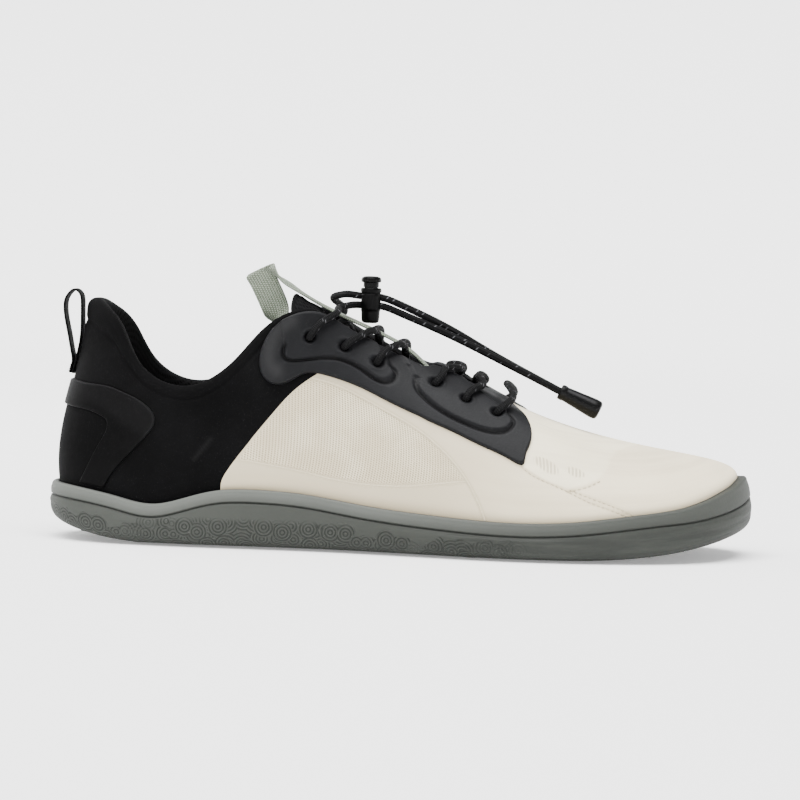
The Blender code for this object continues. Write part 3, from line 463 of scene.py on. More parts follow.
def ringPattern(finish, u, v, cell, radius, bare, shift, look):
    # discs of concentric rings round scattered centres, each whole or left out
    place = finish.point(u + shift, v + shift * 0.7)
    seeds = {"Vector": place, "Scale": 1 / cell, "Randomness": look["stray"]}
    far = finish.add("ShaderNodeTexVoronoi", {"voronoi_dimensions": "2D"}, seeds)
    node = far.socket.node
    middle = finish.split(Field(finish, node.outputs["Position"]))
    luck = finish.split(Field(finish, node.outputs["Color"]))[0]
    rings = ((far * (cell * fullTurn / look["ringPitch"])).sine() * 0.5 + 0.5).step(0.10, 0.75)
    reach = (middle[0] - shift).least(outlineLength - middle[0] + shift)
    top = look["top"] + look["swell"] * reach.step(*look["rise"]) * (1 - reach.step(*look["fall"]))
    disc = (1 - (far * cell).step(radius * 0.94, radius)) * luck.step(bare, bare + 0.04)
    below = 1 - (middle[1] - shift * 0.7 - top).step(-0.0005, 0.0005)
    return rings, disc * below * (1 - reach.step(*look["end"]))


outlineLength = float(lengthsAlong(outline(girthTurns))[-1])
soleLook = dict(
    # heel and toe: painted light and shade, lighter at the lit heel and darker at the forefoot
    heel=rgb(0.041, 0.044, 0.039), toe=rgb(0.0265, 0.0288, 0.0252), rim=rgb(0.120, 0.127, 0.116),
    # groove: painted shade colour for the wall's groove and the inner lip
    # trough: painted shade colour for the troughs between the rings
    cloud=rgb(0.045, 0.048, 0.043), groove=rgb(0.010, 0.011, 0.010), trough=rgb(0.012, 0.0135, 0.0115),
    # the rim colour and its gain paint a highlight on the sole's top band
    brush=rgb(0.013, 0.0145, 0.013), rimHighlightGain=0.62, stray=0.70, ringPitch=0.00124, top=0.0100, swell=0.0068,
    rise=(0.052, 0.078), fall=(0.125, 0.170), end=(0.185, 0.225), ringHeight=0.00034,
    rings=(0.0082, 0.0043, 0.25, 0.0), ringsBelow=(0.0064, 0.0056, 0.02, 0.4131),   # cell, radius, bare, shift
)


def soleRubber():
    finish = Finish("soleRubber", specular=0.16)
    u, v = finish.flat()
    share = finish.station()
    grain = finish.noise(900.0, 4.0)
    cloud = finish.noise(26.0, 2.0)
    rings, discs = ringPattern(finish, u, v, *soleLook["rings"], soleLook)
    ringsBelow, discsBelow = ringPattern(finish, u, v, *soleLook["ringsBelow"], soleLook)
    rings = rings * discs + ringsBelow * (1 - discs)
    discs = (discs + discsBelow).least(1.0) * finish.mark("tread")
    hairs = finish.noise(260.0, 3.0, finish.point(u * 0.12, v * 1.6)).step(0.40, 0.62)
    brushed = finish.mark("tread") * share.step(0.45, 0.62)
    # rim mark: painted highlight on the top band and lip, strongest at the heel and fading towards the toe
    rim = finish.mark("rim") * (1 - share.step(0.30, 0.95) * 0.75) * soleLook["rimHighlightGain"]
    # The heel-to-toe blend is painted light: lighter at the lit heel, darker towards the shaded toe.
    color = finish.paint(
        soleLook["heel"], (share.step(0.02, 0.85), soleLook["toe"]), (rim, soleLook["rim"]),
        # groove coat: painted shade darkening the wall's groove and the sole's inner lip
        (cloud.step(0.35, 0.75) * 0.20, soleLook["cloud"]), (finish.mark("groove") * 0.80, soleLook["groove"]),
        # trough coat: painted shade in the troughs between the tread rings
        ((1 - rings) * discs * 0.70, soleLook["trough"]), ((1 - hairs) * brushed * 0.35, soleLook["brush"]))
    height = rings * discs + hairs * brushed * 0.35 + grain * 0.16
    bump = finish.bump(height, soleLook["ringHeight"])
    return finish.set(color=color, roughness=grain * 0.16 + 0.55, normal=bump)


quarterLook = dict(
    dark=rgb(0.0012, 0.0012, 0.0013), pale=rgb(0.0029, 0.0029, 0.0031), lining=rgb(0.0050, 0.0050, 0.0052),
    # ridge: painted highlight colour along the embossed ridge
    ridge=rgb(0.0120, 0.0120, 0.0122), hole=rgb(0.0015, 0.0015, 0.0015), yarn=0.00075, holePitch=0.0026)


def quarterTextile():
    finish = Finish("quarterTextile", specular=0.05)
    u, v = finish.flat()
    weave = finish.threads(u, quarterLook["yarn"]) * finish.threads(v, quarterLook["yarn"])
    fuzz = finish.noise(1400.0)
    cloud = finish.noise(34.0, 4.0)
    lining = finish.mark("lining")
    holes = dotLattice(u, v, quarterLook["holePitch"], quarterLook["holePitch"]).step(0.16, 0.24)
    color = finish.paint(
        quarterLook["dark"], (cloud.step(0.30, 0.70), quarterLook["pale"]), (lining, quarterLook["lining"]),
        # ridge coat: painted highlight along the embossed ridge
        (finish.mark("ridge") * 0.8, quarterLook["ridge"]), ((1 - holes) * lining, quarterLook["hole"]))
    height = weave * 0.20 + fuzz * 0.8 + holes * lining * 1.5
    return finish.set(color=color, roughness=cloud * 0.14 + 0.78, normal=finish.bump(height, 0.00012))


vampLook = dict(yarn=rgb(0.600, 0.515, 0.355), film=rgb(0.510, 0.440, 0.310), hole=rgb(0.200, 0.165, 0.100),
                cream=rgb(0.900, 0.825, 0.610), front=rgb(0.790, 0.695, 0.500), warm=rgb(0.490, 0.400, 0.265),
                # seam: the seams' darker colour, also laid over the cloth as painted shade by the shade and
                # foot marks
                seam=rgb(0.300, 0.250, 0.165),
                pitch=0.00132, stretch=1.2, holeShare=0.15, hatch=0.00118)


def vampKnit():
    finish = Finish("vampKnit", sheen=0.05, specular=0.25)
    u, v = finish.flat()
    slant = u * 0.94 + v * 0.34      # the knit runs 20 degrees off the rim
    rise = v * 0.94 - u * 0.34
    far = dotLattice(slant, rise, vampLook["pitch"], vampLook["pitch"] * vampLook["stretch"])
    yarns = finish.threads(slant, vampLook["pitch"]) * 0.5 + 0.5
    fuzz = finish.noise(1100.0)
    patch = finish.noise(70.0)
    cloud = finish.noise(22.0)
    streak = finish.noise(60.0, 4.0, finish.point(u * 0.16, v * 2.4)).step(0.38, 0.66)
    knit = finish.mark("knit")
    holes = (1 - far.step(vampLook["holeShare"], vampLook["holeShare"] + 0.12)) * knit
    hatch = finish.threads(u * 0.86 - v * 0.50, vampLook["hatch"]).step(-0.3, 0.5) * finish.mark("hatch")
    color = finish.paint(
        vampLook["film"], (finish.station().step(0.52, 0.78), vampLook["front"]),
        (finish.mark("cream") * 0.80, vampLook["cream"]), (knit, vampLook["yarn"]),
        (patch.step(0.35, 0.7) * knit * 0.35, vampLook["cream"]),
        (holes * (patch * 0.5 + 0.50), vampLook["hole"]),
        (hatch * 0.55, vampLook["seam"]), (cloud.step(0.35, 0.75) * 0.16, vampLook["warm"]),
        (streak * (1 - knit) * 0.22, vampLook["warm"]), (finish.mark("shade") * 0.60, vampLook["seam"]),
        # foot coat: painted shade, darkening the cloth towards the sole
        (finish.mark("foot") * 0.62, vampLook["seam"]))
    height = (1 - holes) * knit * 1.1 + yarns * knit * 0.35 - hatch * 0.9 + fuzz * (knit * 0.35 + 0.10)
    rough = knit * 0.22 + fuzz * 0.10 + 0.50
    return finish.set(color=color, roughness=rough, normal=finish.bump(height, 0.00020))


eyestayLook = dict(face=rgb(0.0048, 0.0050, 0.0058), low=rgb(0.0030, 0.0031, 0.0037),
                   # dark: painted shade colour for the grooves and eyelet holes
                   # lobe: painted highlight colour on the rear lobe's ridge
                   lobe=rgb(0.0130, 0.0131, 0.0138), dark=rgb(0.0005, 0.0005, 0.0006))


def eyestayRubber():
    finish = Finish("eyestayRubber", specular=0.11)
    grain = finish.noise(1500.0)
    cloud = finish.noise(60.0)
    color = finish.paint(
        eyestayLook["face"], (cloud.step(0.3, 0.75) * 0.6, eyestayLook["low"]),
        # groove coat: painted shade in the grooves and eyelet holes
        # lobe coat: painted highlight along the rear lobe
        (finish.mark("lobe"), eyestayLook["lobe"]), (finish.mark("groove"), eyestayLook["dark"]))
    return finish.set(color=color, roughness=grain * 0.16 + 0.44, normal=finish.bump(grain, 0.00007))


def counterFilm():
    finish = Finish("counterFilm", specular=0.045)
    grain = finish.noise(1300.0)
    cloud = finish.noise(45.0)
    color = finish.paint(
        rgb(0.0008, 0.0008, 0.0009), (cloud.step(0.3, 0.7), rgb(0.0018, 0.0018, 0.0019)),
        # arm coat: painted light, the counter's upper arm lighter than its lower part
        (finish.mark("arm") * 0.55, rgb(0.0044, 0.0044, 0.0046)),
        # edge coat: painted highlight along the counter's upper outer edge
        (finish.mark("edge") * 0.8, rgb(0.0095, 0.0095, 0.0100)))
    return finish.set(color=color, roughness=grain * 0.12 + 0.50, normal=finish.bump(grain, 0.00006))


def tongueTextile():
    finish = Finish("tongueTextile", specular=0.07)
    cells = dotLattice(*finish.flat(), 0.0030, 0.0030).step(0.14, 0.30)
    fuzz = finish.noise(1300.0)
    color = finish.blend(cells, rgb(0.0008, 0.0008, 0.0009), rgb(0.0040, 0.0040, 0.0043))
    bump = finish.bump(cells + fuzz * 0.4, 0.00022)
    return finish.set(color=color, roughness=fuzz * 0.12 + 0.80, normal=bump)


webbingLook = dict(pale=rgb(0.250, 0.283, 0.222), deep=rgb(0.060, 0.078, 0.048), worn=rgb(0.40, 0.42, 0.36),
                   rib=0.00105, pick=0.00085)


def strapWebbing():
    finish = Finish("strapWebbing", sheen=0.15, specular=0.25)
    u, v = finish.flat()
    rib = v / webbingLook["rib"]
    lane = (rib * 0.5).fract().step(0.49, 0.51)
    pick = (u / webbingLook["pick"] + lane * 0.5).fract() - 0.5
    across = rib.fract() - 0.5
    thread = 1 - (pick * pick * 2.6 + across * across * 2.2).math("SQRT")
    fuzz = finish.noise(1600.0, 2.0)
    depth = thread.step(0.20, 0.62)
    color = finish.paint(webbingLook["deep"], (depth, webbingLook["pale"]),
                         (fuzz.step(0.45, 0.75) * 0.35, webbingLook["worn"]))
    bump = finish.bump(thread + fuzz * 0.15, 0.00028)
    return finish.set(color=color, roughness=fuzz * 0.12 + 0.78, normal=bump)


def loopTape():
    finish = Finish("loopTape", 0.82, specular=0.07)
    u, v = finish.flat()
    ribs = finish.threads(u, 0.00080) * 0.5 + 0.5
    wales = finish.threads(v, 0.00110) * 0.5 + 0.5
    color = finish.blend(ribs * wales, rgb(0.0010, 0.0010, 0.0011), rgb(0.0040, 0.0040, 0.0042))
    return finish.set(color=color, normal=finish.bump(ribs * 0.6 + wales * 0.4, 0.00016))


cordLook = dict(dark=rgb(0.0009, 0.0009, 0.0010), yarn=rgb(0.0048, 0.0048, 0.0052),
                fleck=rgb(0.085, 0.085, 0.090), pitch=0.00130, girth=0.00114, plain=0.84)


def laceBraid():
    finish = Finish("laceBraid", specular=0.10)
    u, v = finish.flat()
    across = v / cordLook["girth"]
    one = u / cordLook["pitch"] + across * 0.5
    two = u / cordLook["pitch"] - across * 0.5
    braid = (one * fullTurn).sine() * (two * fullTurn).sine() * 0.5 + 0.5
    cell = finish.chance(finish.point(one.whole(), (two * 0.5).whole()))
    inCell = (one.fract() - 0.5).size() * 1.4 + ((two * 0.5).fract() - 0.5).size()
    fleck = cell.step(cordLook["plain"], cordLook["plain"] + 0.02) * (1 - inCell.step(0.24, 0.46))
    color = finish.paint(cordLook["dark"], (braid, cordLook["yarn"]), (fleck, cordLook["fleck"]))
    fuzz = finish.noise(2200.0, 2.0)
    bump = finish.bump(braid + fuzz * 0.2, 0.00030)
    return finish.set(color=color, roughness=fuzz * 0.14 + 0.66, normal=bump)


def mouldedPlastic(name, base, roughness, specular):
    finish = Finish(name, specular=specular)
    grain = finish.noise(1700.0, 2.0)
    cloud = finish.noise(120.0, 2.0)
    worn = rgb(base * 1.7, base * 1.7, base * 1.8)
    color = finish.blend(cloud.step(0.35, 0.75), rgb(base, base, base * 1.06), worn)
    rough = grain * 0.14 + roughness - 0.07
    return finish.set(color=color, roughness=rough, normal=finish.bump(grain, 0.00004))


def insoleCloth():
    finish = Finish("insoleCloth", 0.90, specular=0.15)
    x, y = finish.split(finish.space())[:2]
    weave = finish.threads(x, 0.0011) * finish.threads(y, 0.0011)
    fuzz = finish.noise(1200.0)
    cloud = finish.noise(40.0)
    color = finish.blend(cloud.step(0.3, 0.7), rgb(0.010, 0.010, 0.011), rgb(0.017, 0.017, 0.018))
    return finish.set(color=color, normal=finish.bump(weave * 0.3 + fuzz * 0.6, 0.00016))


def threadFinish(name, color):
    finish = Finish(name, 0.70, sheen=0.05, specular=0.3)
    fuzz = finish.noise(3000.0, 2.0)
    shade = finish.blend(fuzz.step(0.3, 0.7) * 0.5, color, rgb(*(part * 0.6 for part in color[:3])))
    return finish.set(color=shade, normal=finish.bump(fuzz, 0.00008))


print("finishes")
finishes = dict(
    sole=soleRubber(), quarter=quarterTextile(), vamp=vampKnit(), eyestay=eyestayRubber(),
    counter=counterFilm(), tongue=tongueTextile(), webbing=strapWebbing(), tape=loopTape(), lace=laceBraid(),
    lock=mouldedPlastic("lockPlastic", 0.0010, 0.34, 0.06),
    button=mouldedPlastic("buttonPlastic", 0.0011, 0.28, 0.08),
    cap=mouldedPlastic("capRubber", 0.0013, 0.32, 0.11), insole=insoleCloth(),
    ivoryThread=threadFinish("ivoryThread", rgb(0.600, 0.520, 0.365)),
    darkThread=threadFinish("darkThread", rgb(0.008, 0.008, 0.0085)),
    sageThread=threadFinish("sageThread", rgb(0.330, 0.355, 0.300)),
)


def gridMesh(name, grid, uv, closeRows=False, closeCols=True, weld=0.0, marks=None):
    # mesh of quads over a grid of points, turned so that its faces point outwards; a tube gets its end caps
    rows, cols = grid.shape[:2]
    spans = (np.arange(rows if closeRows else rows - 1), np.arange(cols if closeCols else cols - 1))
    r, c = np.meshgrid(*spans, indexing="ij")
    r2, c2 = (r + 1) % rows, (c + 1) % cols
    faces = np.stack([r * cols + c, r * cols + c2, r2 * cols + c2, r2 * cols + c], -1).reshape(-1, 4)
    corners = np.stack([uv[r, c], uv[r, c + 1], uv[r + 1, c + 1], uv[r + 1, c]], 2).reshape(-1, 4, 2)
    points = grid.reshape(-1, 3)
    a, b, d, e = (points[faces[:, i]] - points.mean(0) for i in range(4))
    inside = np.sum(a * np.cross(b, d)) + np.sum(a * np.cross(d, e)) < 0
    if inside:
        faces = faces[:, ::-1]
        corners = corners[:, ::-1]
    faceList = faces.tolist()
    corners = corners.reshape(-1, 2).tolist()
    if closeCols and not closeRows:
        flip = -1 if inside else 1
        for row, way in ((0, -1), (rows - 1, 1)):
            ring = list(range(row * cols, (row + 1) * cols))[::way * flip]
            faceList.append(ring)
            corners += [uv[row, i - row * cols].tolist() for i in ring]
    mesh = bpy.data.meshes.new(name)
    mesh.from_pydata(points.tolist(), [], faceList)
    mesh.uv_layers.new(name="cloth").data.foreach_set("uv", np.array(corners, np.float32).ravel())
    for key, values in (marks or {}).items():
        layer = mesh.attributes.new(key, "FLOAT", "POINT")
        layer.data.foreach_set("value", np.broadcast_to(values, (rows, cols)).astype(np.float32).ravel())
    if weld:
        bm = bmesh.new()
        bm.from_mesh(mesh)
        bmesh.ops.remove_doubles(bm, verts=bm.verts, dist=weld)
        bm.to_mesh(mesh)
        bm.free()
    mesh.shade_smooth()
    return mesh


def coverMesh(name, turn, up, lift, backRows, backLift, marks):
    # a thin cover on the upper: its outer face, and rows of its back just over or under the cloth
    back = [upperOffset(backTurn, backUp, np.full(len(turn), backLift)) for backTurn, backUp in backRows]
    uv = clothMap(turn, up)
    uv = np.concatenate([uv, np.repeat(uv[:, -1:], len(back) + 1, 1)], 1)
    for key, values in marks.items():
        marks[key] = np.concatenate([values, np.zeros((len(turn), len(back)))], 1)
    return gridMesh(name, np.concatenate([upperOffset(turn, up, lift), np.stack(back, 1)], 1), uv, marks=marks)


def ringMesh(name, rings, run, start, marks, spine=False):
    # a shell of rings round the shoe, its cloth map measured from the start ring; or closed along a spine
    rise = lengthsAlong(rings).T
    rise = np.vstack([rise, rise[:1]])
    uv = np.stack([np.broadcast_to(run[:, None], rise.shape), rise - rise[:, start:start + 1]], -1)
    uv = np.concatenate([uv, uv[:, -1:]], 1)
    return gridMesh(name, rings.transpose(1, 0, 2), uv, True, not spine, 1e-5 if spine else 0.0, marks)


def roundEdge(distance, radius):
    return np.sqrt(1 - (1 - np.clip(distance / radius, 0, 1)) ** 2)


def newObject(name, data):
    made = bpy.data.objects.new(name, data)
    bpy.context.scene.collection.objects.link(made)
    return made


def addPiece(name, mesh, material, body=shoeBody, stands=()):
    mesh.materials.clear()
    mesh.materials.append(material)
    piece = newObject(name, mesh)
    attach(piece, body)
    if stands:
        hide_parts(*stands)
    return piece


def sweep(name, centres, sides, faces, profile):
    # a closed profile of (side, face) points carried along the centres
    profile = np.asarray(profile, float)
    if profile.ndim == 2:
        profile = np.broadcast_to(profile, (len(centres), *profile.shape))
    grid = centres[:, None] + sides[:, None] * profile[..., :1] + faces[:, None] * profile[..., 1:]
    girth = lengthsAlong(np.concatenate([profile, profile[:, :1]], 1), 1)
    along = np.broadcast_to(lengthsAlong(centres)[:, None], girth.shape)
    return gridMesh(name, grid, np.stack([along, girth], -1))


def frameAlong(centres, widths):
    along = unit(np.gradient(centres, axis=0))
    side = unit(widths - along * np.sum(widths * along, axis=1, keepdims=True))
    return side, np.cross(along, side)


def softBox(width, thick, count, power):
    # rounded flat profile, as a superellipse
    angles = np.arange(count * 4) * fullTurn / (count * 4)
    c, s = np.cos(angles), np.sin(angles)
    x = np.sign(c) * np.abs(c) ** (2 / power) * width / 2
    y = np.sign(s) * np.abs(s) ** (2 / power) * thick / 2
    return np.stack([x, y], -1)


def tubeMesh(name, centres, radius, sides):
    along = unit(np.gradient(centres, axis=0))
    side = [unit(np.cross(along[0], (0.3, 0.1, 0.9)))]      # any direction that no cord starts in
    for step in along[1:]:
        side.append(unit(side[-1] - step * (side[-1] @ step)))
    side = np.array(side)
    angles = np.arange(sides) * fullTurn / sides
    ring = np.stack([np.cos(angles), np.sin(angles)], -1) * radius
    return sweep(name, centres, side, np.cross(along, side), ring)


def plainMesh(piece):
    graph = bpy.context.evaluated_depsgraph_get()
    return bpy.data.meshes.new_from_object(piece.evaluated_get(graph), depsgraph=graph)


def bakeNodes(name, points, edges, normals, tree, values):
    # runs a geometry tree on the points or rows and keeps the result as a plain mesh
    mesh = bpy.data.meshes.new(name)
    mesh.from_pydata(points, edges, [])
    if normals is not None:
        layer = mesh.attributes.new("faceNormal", "FLOAT_VECTOR", "POINT")
        layer.data.foreach_set("vector", normals.astype(np.float32).ravel())
    holder = newObject(name, mesh)
    modifier = holder.modifiers.new("made", "NODES")
    modifier.node_group = tree
    labels = {item.name: item.identifier for item in tree.interface.items_tree if item.in_out == "INPUT"}
    for label, value in values.items():
        modifier[labels[label]] = value
    made = plainMesh(holder)
    holder.modifiers.clear()
    bpy.data.objects.remove(holder, do_unlink=True)
    made.shade_smooth()
    return made


def newTree(name, sockets):
    tree = bpy.data.node_groups.new(name, "GeometryNodeTree")
    tree.interface.new_socket("Geometry", in_out="INPUT", socket_type="NodeSocketGeometry")
    for label, value in sockets.items():
        kind = "NodeSocketMaterial" if value is None else "NodeSocketFloat"
        socket = tree.interface.new_socket(label, in_out="INPUT", socket_type=kind)
        if value is not None:
            socket.default_value = value
    tree.interface.new_socket("Result", in_out="OUTPUT", socket_type="NodeSocketGeometry")
    start = tree.nodes.new("NodeGroupInput")
    end = tree.nodes.new("NodeGroupOutput")

    def add(kind, settings=None, inputs=None):
        node = tree.nodes.new(kind)
        for key, value in (settings or {}).items():
            setattr(node, key, value)
        for key, value in (inputs or {}).items():
            if isinstance(value, bpy.types.NodeSocket):
                tree.links.new(value, node.inputs[key])
            else:
                node.inputs[key].default_value = value
        return node.outputs

    def close(points, instance, finish, **more):
        # copies on the points, made real, with their finish
        places = {"Points": points, "Instance": instance, **more}
        copies = add("GeometryNodeInstanceOnPoints", inputs=places)
        real = add("GeometryNodeRealizeInstances", inputs={0: copies[0]})
        done = add("GeometryNodeSetMaterial", inputs={"Geometry": real[0], "Material": finish})
        tree.links.new(done[0], end.inputs[0])
        return tree

    return tree, start.outputs, add, close


def stitchTree():
    # one rounded stitch at every pitch along each row, lying on the face
    sockets = {"Pitch": 0.002, "Length": 0.0014, "Width": 0.0005, "Thread": None}
    tree, given, add, close = newTree("stitchRows", sockets)
    rows = add("GeometryNodeMeshToCurve", inputs={"Mesh": given["Geometry"]})
    points = add("GeometryNodeResampleCurve", {"mode": "LENGTH"}, {"Curve": rows[0], "Length": given["Pitch"]})
    stitch = add("GeometryNodeMeshUVSphere", inputs={"Segments": 8, "Rings": 5, "Radius": 0.5})
    way = add("GeometryNodeInputTangent")
    out = add("GeometryNodeInputNamedAttribute", {"data_type": "FLOAT_VECTOR"}, {"Name": "faceNormal"})
    turn = add("FunctionNodeAlignRotationToVector", {"axis": "X"}, {"Vector": way[0]})
    turn = add("FunctionNodeAlignRotationToVector", {"axis": "Z", "pivot_axis": "X"},
               {"Rotation": turn[0], "Vector": out[0]})
    size = add("ShaderNodeCombineXYZ", inputs={0: given["Length"], 1: given["Width"], 2: given["Width"]})
    return close(points[0], stitch[0], given["Thread"], Rotation=turn[0], Scale=size[0])


treadSizes = {"First Ring": 0.0014, "Ring Step": 0.00125, "Ring Width": 0.00055}


def treadTree():
    # a cluster of concentric low rings at every point
    tree, given, add, close = newTree("treadRings", {**treadSizes, "Rubber": None})
    profile = add("GeometryNodeCurvePrimitiveQuadrilateral",
                  inputs={"Width": given["Ring Width"], "Height": given["Ring Width"]})
    join = tree.nodes.new("GeometryNodeJoinGeometry")
    for index in range(3):
        reach = add("ShaderNodeMath", {"operation": "MULTIPLY_ADD"},
                    {0: given["Ring Step"], 1: float(index), 2: given["First Ring"]})
        circle = add("GeometryNodeCurvePrimitiveCircle", inputs={"Resolution": 20, "Radius": reach[0]})
        ring = add("GeometryNodeCurveToMesh", inputs={"Curve": circle[0], "Profile Curve": profile[0]})
        tree.links.new(ring[0], join.inputs[0])
    return close(given["Geometry"], join.outputs[0], given["Rubber"])


stitches = stitchTree()


def addStitches(name, rows, material, pitch, length, width):
    # rows is a list of (points, normals)
    points, normals = (np.vstack([row[i] for row in rows]) for i in (0, 1))
    edges = []
    start = 0
    for row in rows:
        edges += [(start + i, start + i + 1) for i in range(len(row[0]) - 1)]
        start += len(row[0])
    values = {"Pitch": pitch, "Length": length, "Width": width, "Thread": material}
    addPiece(name, bakeNodes(name + "Rows", points.tolist(), edges, normals, stitches, values), material)


# Sole
sole = dict(columns=720, grooveDrop=0.0053, grooveDepth=0.0009, treadTop=0.0125, ringPitch=0.0088,
            ringLift=0.0004, sideStart=0.0075, lip=0.0015)
# The wall's groove, across: height from its middle, share of its depth, and its mark of painted shade
grooveSteps = [
    (-0.00055, 0.00, 0.0), (-0.00030, 0.45, 0.5), (0.0, 1.0, 1.0), (0.00028, 0.45, 0.6),
    (0.00055, 0.0, 0.0),
]


def soleProfile(turn):
    # rings of the cup from the spine below to the spine of its floor, with their marks
    lean = toeLean(turn)
    rim = rimCurve(turn)[..., 0]
    groove = rim - sole["grooveDrop"] * (1 + 0.5 * lean / shoe["toeLean"])
    foot = outline(turn, shoe["edgeRound"])
    middle = (foot + foot[::-1][np.r_[-1, 0:len(turn) - 1]]) / 2
    middle[:, 0] *= 0.90
    ground = bottomLevel(foot[..., 0])
    rings, marks = [], {"groove": [], "tread": [], "rim": []}

    def put(flat, level, groove=0.0, tread=0.0, rim=0.0):
        rings.append(standOn(flat, level))
        for key, mark in (("groove", groove), ("tread", tread), ("rim", rim)):
            marks[key].append(np.broadcast_to(mark, turn.shape))

    for share in (1.0, 0.75, 0.5, 0.25, 0.1):
        flat = mix(foot, middle, share)
        put(flat, bottomLevel(flat[..., 0]) + sole["ringLift"])
    for share in np.linspace(0, 1, 12):
        bend = share * math.pi / 2
        inset = shoe["edgeRound"] * (1 - math.sin(bend)) ** 1.15
        level = ground + sole["sideStart"] * (1 - math.cos(bend)) ** 1.05
        put(outline(turn, inset), level + sole["ringLift"] * (1 - share), tread=ease((share - 0.15) / 0.3))
    low = ground + sole["sideStart"]
    for share in np.linspace(0.12, 1.0, 14):
        level = mix(low, groove - 0.0010, share)
        swell = 0.0003 * math.sin(share * math.pi)
        fade = 1 - ease((level - ground - sole["treadTop"] + 0.003) / 0.003)
        put(outline(turn, 0.0002 * share + 0.10 * lean * share - swell), level, tread=fade)
    for offset, depth, mark in grooveSteps:
        put(outline(turn, 0.0002 + depth * sole["grooveDepth"] + 0.12 * lean), groove + offset, mark)
    top = groove + 0.0009
    # The top band and the lip carry the rim mark, a painted highlight.
    for share in np.linspace(0, 1, 8):
        bulge = 0.00025 * math.sin(share * math.pi)
        flat = outline(turn, 0.0002 + 0.0003 * share + mix(0.13, 0.58, share) * lean - bulge)
        put(flat, mix(top, rim - sole["lip"], share), rim=0.55 + 0.45 * share)
    for share in np.linspace(0.15, 1, 7):
        bend = share * math.pi / 2
        flat = outline(turn, 0.0005 + 0.60 * lean + 0.0012 * (1 - math.cos(bend)))
        put(flat, rim - sole["lip"] + 0.0014 * math.sin(bend), rim=1.0)
    put(outline(turn, shoe["rimInset"] + lean), rim - 0.0001)
    # the inner lip carries the groove mark, painted shade where the upper sits in the sole
    put(outline(turn, shoe["rimInset"] + 0.0001 + lean), rim - 0.0012, 1.0)
    inner = outline(turn, shoe["floorInset"] + 0.6 * lean)
    put(inner, floorLevel(inner[..., 0]))
    for share in (0.5, 1.0):
        flat = mix(inner, middle, share)
        put(flat, floorLevel(flat[..., 0]))
    return np.array(rings), {key: np.array(values).T for key, values in marks.items()}


def turnsRound(columns):
    count = int(columns * fine)
    return np.arange(count) * fullTurn / count


def makeSole():
    turn = turnsRound(sole["columns"])
    rings, marks = soleProfile(turn)
    run = lengthsAlong(outline(np.append(turn, fullTurn)))
    mesh = ringMesh("soleCup", rings, run, 5, marks, spine=True)
    addPiece("soleCup", mesh, finishes["sole"], stands=["sole"])


def makeTread():
    # rings under the foot, kept inside the outline
    row, place = np.meshgrid(np.arange(-8, 9), np.arange(-18, 19), indexing="ij")
    x = (place + (row % 2) * 0.5) * sole["ringPitch"]
    y = row * sole["ringPitch"] * 0.88
    edge = outline(np.linspace(0, fullTurn, 361))
    flat = np.stack([x, y], -1)
    near = np.linalg.norm(edge - flat[..., None, :], axis=-1).min(-1)
    keep = (near > shoe["edgeRound"] + 0.0045) & insideShape(edge.tolist(), x, y)
    points = standOn(flat, bottomLevel(x) + sole["ringLift"])[keep]
    values = {**treadSizes, "Rubber": finishes["sole"]}
    made = bakeNodes("treadPoints", points.tolist(), [], None, treadTree(), values)
    addPiece("treadRings", made, finishes["sole"])


# Soft troughs and ridges of the cloth: stations and heights of the line, depth, width, sides
creases = [
    ([(0.300, 0.90), (0.285, 0.72), (0.262, 0.55)], -0.00045, 0.0045),
    ([(0.345, 0.86), (0.325, 0.70), (0.300, 0.52)], 0.00050, 0.0040),
    ([(0.385, 0.66), (0.352, 0.58), (0.318, 0.45)], -0.00035, 0.0030),
    ([(0.180, 0.86), (0.215, 0.78), (0.255, 0.82)], -0.00040, 0.0040),
    ([(0.257, 0.545), (0.241, 0.467), (0.224, 0.370)], 0.00050, 0.0011),
    ([(0.110, 0.62), (0.150, 0.80), (0.190, 0.92)], 0.00030, 0.0050),
    ([(0.830, 0.40), (0.870, 0.30), (0.905, 0.14)], -0.00050, 0.0060),
    ([(0.900, 0.42), (0.925, 0.26), (0.945, 0.10)], 0.00040, 0.0050),
    ([(0.770, 0.62), (0.800, 0.52), (0.840, 0.46)], -0.00030, 0.0060),
    ([(0.640, 0.30), (0.665, 0.20), (0.690, 0.06)], -0.00035, 0.0050),
]


def pathOnUpper(line, side, lift, count):
    # a line of (station, height on the rib) points, smooth on the upper's face
    read = spline(range(len(line)), [(turnAt(at), up) for at, up in line])
    rows = read(np.linspace(0, len(line) - 1, count))
    turn = rows[:, 0] if side < 0 else fullTurn - rows[:, 0]
    return upperOffset(turn, rows[:, 1], np.full(count, lift)), upperNormal(turn, rows[:, 1])


def bothSides(line, count):
    return [pathOnUpper(line, side, 0.0, count)[0] for side in (-1, 1)]


creasePaths = [(path, depth, width) for line, depth, width in creases for path in bothSides(line, 9)]
ridgePaths = [path for line, depth, width in creases if width < 0.002 for path in bothSides(line, 40)]


def creaseLift(points):
    return sum(depth * bell(distanceToPath(points, path), width) for path, depth, width in creasePaths)


# Upper: the black body with its padded collar and lining
upper = dict(columns=620, trough=0.0006, troughAt=0.945, underVamp=0.00025)


